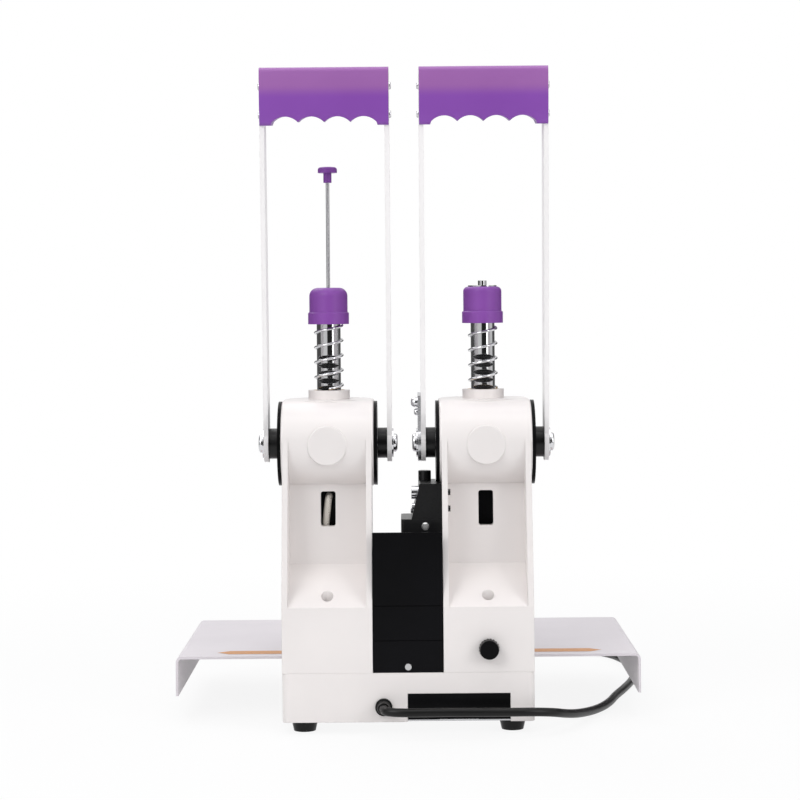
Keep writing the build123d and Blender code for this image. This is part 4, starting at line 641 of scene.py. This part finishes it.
def coil_points():
    """Half turns across the coil: four spiral in, one climbs, three spiral out."""
    points = []
    start = Vector((COIL_X, COIL_FRONT, COIL_LOW))
    heading = 1
    for index, radius in enumerate(COIL_RADII):
        rise = COIL_PITCH if index == CLIMBING_HALF_TURN else 0
        for step in range(POINTS_PER_HALF_TURN):
            share = step / POINTS_PER_HALF_TURN
            turn = math.pi * share
            sideways = heading * radius * math.sin(turn)
            across = heading * radius * (1 - math.cos(turn))
            points.append(start + Vector((sideways, across, rise * share)))
        start = start + Vector((0, heading * 2 * radius, rise))
        heading = -heading
    for share in (0, 0.5, 1):
        points.append(start + Vector((heading * COIL_TAIL * share, 0, 0)))
    return points


lead_route = [Vector(point) for point in lead_points] + coil_points()
lead_curve = smooth_curve("power_lead", lead_route, 8)
lead_curve.bevel_depth = LEAD_DIAMETER / 2
lead_curve.bevel_resolution = 6
lead_curve.use_fill_caps = True
power_lead = bpy.data.objects.new("power_lead", lead_curve)
bpy.context.scene.collection.objects.link(power_lead)
dress(power_lead, rubber)
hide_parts("power_lead_run", "power_lead_coil")
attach(power_lead, "base")


# Floor
FLOOR_RADIUS = 1.1
SHADOW_RADIUS = 0.30
CLEAR_RADIUS = 1.0
WHITE_NEAR = 0.88
WHITE_FAR = 1.0


def stage_material():
    """White for the camera and in reflections, plain diffuse for light; keeps a faint shadow."""
    material = bpy.data.materials.new("floor")
    material.use_nodes = True
    tree = material.node_tree
    tree.nodes.clear()
    output = tree.nodes.new("ShaderNodeOutputMaterial")
    mix = tree.nodes.new("ShaderNodeMixShader")
    diffuse = tree.nodes.new("ShaderNodeBsdfDiffuse")
    diffuse.inputs["Color"].default_value = (0.80, 0.80, 0.80, 1)
    glow = tree.nodes.new("ShaderNodeEmission")
    glow.inputs["Color"].default_value = (1, 1, 1, 1)
    glow.inputs["Strength"].default_value = 1.0
    rays = tree.nodes.new("ShaderNodeLightPath")
    seen = tree.nodes.new("ShaderNodeMath")
    seen.operation = "MAXIMUM"
    tree.links.new(rays.outputs["Is Camera Ray"], seen.inputs[0])
    tree.links.new(rays.outputs["Is Glossy Ray"], seen.inputs[1])
    place = tree.nodes.new("ShaderNodeTexCoord")
    reach = tree.nodes.new("ShaderNodeVectorMath")
    reach.operation = "LENGTH"
    fade = tree.nodes.new("ShaderNodeMapRange")
    fade.interpolation_type = "SMOOTHSTEP"
    fade.inputs["From Min"].default_value = SHADOW_RADIUS
    fade.inputs["From Max"].default_value = CLEAR_RADIUS
    fade.inputs["To Min"].default_value = WHITE_NEAR
    fade.inputs["To Max"].default_value = WHITE_FAR
    tree.links.new(place.outputs["Object"], reach.inputs[0])
    tree.links.new(reach.outputs["Value"], fade.inputs["Value"])
    share = tree.nodes.new("ShaderNodeMath")
    share.operation = "MULTIPLY"
    tree.links.new(seen.outputs[0], share.inputs[0])
    tree.links.new(fade.outputs["Result"], share.inputs[1])
    tree.links.new(share.outputs[0], mix.inputs[0])
    tree.links.new(diffuse.outputs[0], mix.inputs[1])
    tree.links.new(glow.outputs[0], mix.inputs[2])
    tree.links.new(mix.outputs[0], output.inputs[0])
    return material


floor_mesh = bpy.data.meshes.new("floor")
rim = [math.radians(degrees) for degrees in range(0, 360, 5)]
floor_corners = [(FLOOR_RADIUS * math.cos(angle), FLOOR_RADIUS * math.sin(angle), 0) for angle in rim]
floor_mesh.from_pydata(floor_corners, [], [tuple(range(len(rim)))])
floor = bpy.data.objects.new("floor", floor_mesh)
bpy.context.scene.collection.objects.link(floor)
dress(floor, stage_material())


# World: the room's brightness by its heading in degrees, 0 behind the camera
WORLD_LIGHT = 0.53
BACKDROP = 0.9
DARK_SIDE = 0.12
DARK_FRONT = 0.03
SOFTBOX = 1.0
ROOM_STOPS = {
    -165: BACKDROP, -155: DARK_SIDE, -110: DARK_SIDE, -100: SOFTBOX, -42: SOFTBOX, -34: DARK_FRONT,
    8: DARK_FRONT, 16: SOFTBOX, 74: SOFTBOX, 84: DARK_SIDE, 155: DARK_SIDE, 165: BACKDROP,
}
CEILING_LOW = 0.35
CEILING_HIGH = 0.75
WHITE = (1, 1, 1, 1)
COOL_WHITE = (0.96, 0.97, 1.0, 1)


def studio_world():
    """Even light, a white ground for the camera, and a studio with two bright sides in reflections."""
    world = bpy.data.worlds.new("studio")
    world.use_nodes = True
    tree = world.node_tree
    tree.nodes.clear()

    def calculation(operation, first, second):
        step = tree.nodes.new("ShaderNodeMath")
        step.operation = operation
        tree.links.new(first, step.inputs[0])
        tree.links.new(second, step.inputs[1])
        return step.outputs[0]

    def light(color, strength):
        ground = tree.nodes.new("ShaderNodeBackground")
        ground.inputs["Color"].default_value = color
        ground.inputs["Strength"].default_value = strength
        return ground

    def blend(share, first, second):
        mix = tree.nodes.new("ShaderNodeMixShader")
        tree.links.new(share, mix.inputs[0])
        tree.links.new(first, mix.inputs[1])
        tree.links.new(second, mix.inputs[2])
        return mix.outputs[0]

    # The room's ramp: its ends lie behind the object, and its middle behind the camera
    way = tree.nodes.new("ShaderNodeTexCoord")
    parts = tree.nodes.new("ShaderNodeSeparateXYZ")
    tree.links.new(way.outputs["Generated"], parts.inputs[0])
    heading = tree.nodes.new("ShaderNodeMapRange")
    heading.inputs["From Min"].default_value = -math.pi
    heading.inputs["From Max"].default_value = math.pi
    tree.links.new(calculation("ARCTAN2", parts.outputs["X"], parts.outputs["Y"]), heading.inputs["Value"])
    room = tree.nodes.new("ShaderNodeValToRGB")
    room.color_ramp.interpolation = "EASE"
    stops = room.color_ramp.elements
    stops[0].position = 0.0
    stops[1].position = 1.0
    for degrees in ROOM_STOPS:
        stops.new((degrees + 180) / 360)
    for stop in stops:
        degrees = round(stop.position * 360 - 180)
        brightness = ROOM_STOPS.get(degrees, BACKDROP)
        stop.color = (brightness, brightness, brightness, 1)
    ceiling = tree.nodes.new("ShaderNodeMapRange")
    ceiling.interpolation_type = "SMOOTHSTEP"
    ceiling.inputs["From Min"].default_value = CEILING_LOW
    ceiling.inputs["From Max"].default_value = CEILING_HIGH
    tree.links.new(parts.outputs["Z"], ceiling.inputs["Value"])
    tree.links.new(heading.outputs["Result"], room.inputs["Fac"])
    sides = light(WHITE, 1.0)
    tree.links.new(room.outputs["Color"], sides.inputs["Color"])
    reflected = blend(ceiling.outputs["Result"], sides.outputs[0], light(WHITE, 1.0).outputs[0])
    rays = tree.nodes.new("ShaderNodeLightPath")
    mirror = calculation("MAXIMUM", rays.outputs["Is Glossy Ray"], rays.outputs["Is Transmission Ray"])
    lit = blend(mirror, light(COOL_WHITE, WORLD_LIGHT).outputs[0], reflected)
    seen = blend(rays.outputs["Is Camera Ray"], lit, light(WHITE, 1.0).outputs[0])
    output = tree.nodes.new("ShaderNodeOutputWorld")
    tree.links.new(seen, output.inputs[0])
    return world


bpy.context.scene.world = studio_world()


# Lamps
def soft_light(name, place, target, size, power):
    """A large lamp that faces the target."""
    data = bpy.data.lights.new(name, "AREA")
    data.shape = "RECTANGLE"
    data.size = size[0]
    data.size_y = size[1]
    data.energy = power
    lamp = bpy.data.objects.new(name, data)
    bpy.context.scene.collection.objects.link(lamp)
    way = Vector(target) - Vector(place)
    lamp.matrix_world = Matrix.Translation(place) @ way.to_track_quat("-Z", "Y").to_matrix().to_4x4()
    return lamp


MIDDLE = (0, 0.05, 0.25)
soft_light("key", (1.3, 1.6, 1.5), MIDDLE, (1.2, 1.2), 19)
soft_light("fill", (-1.5, 1.4, 0.9), MIDDLE, (1.0, 1.4), 12.5)
soft_light("top", (0, 0.2, 2.0), MIDDLE, (1.6, 1.6), 12)
soft_light("front", (0.8, -1.3, 2.0), MIDDLE, (1.2, 1.2), 11)
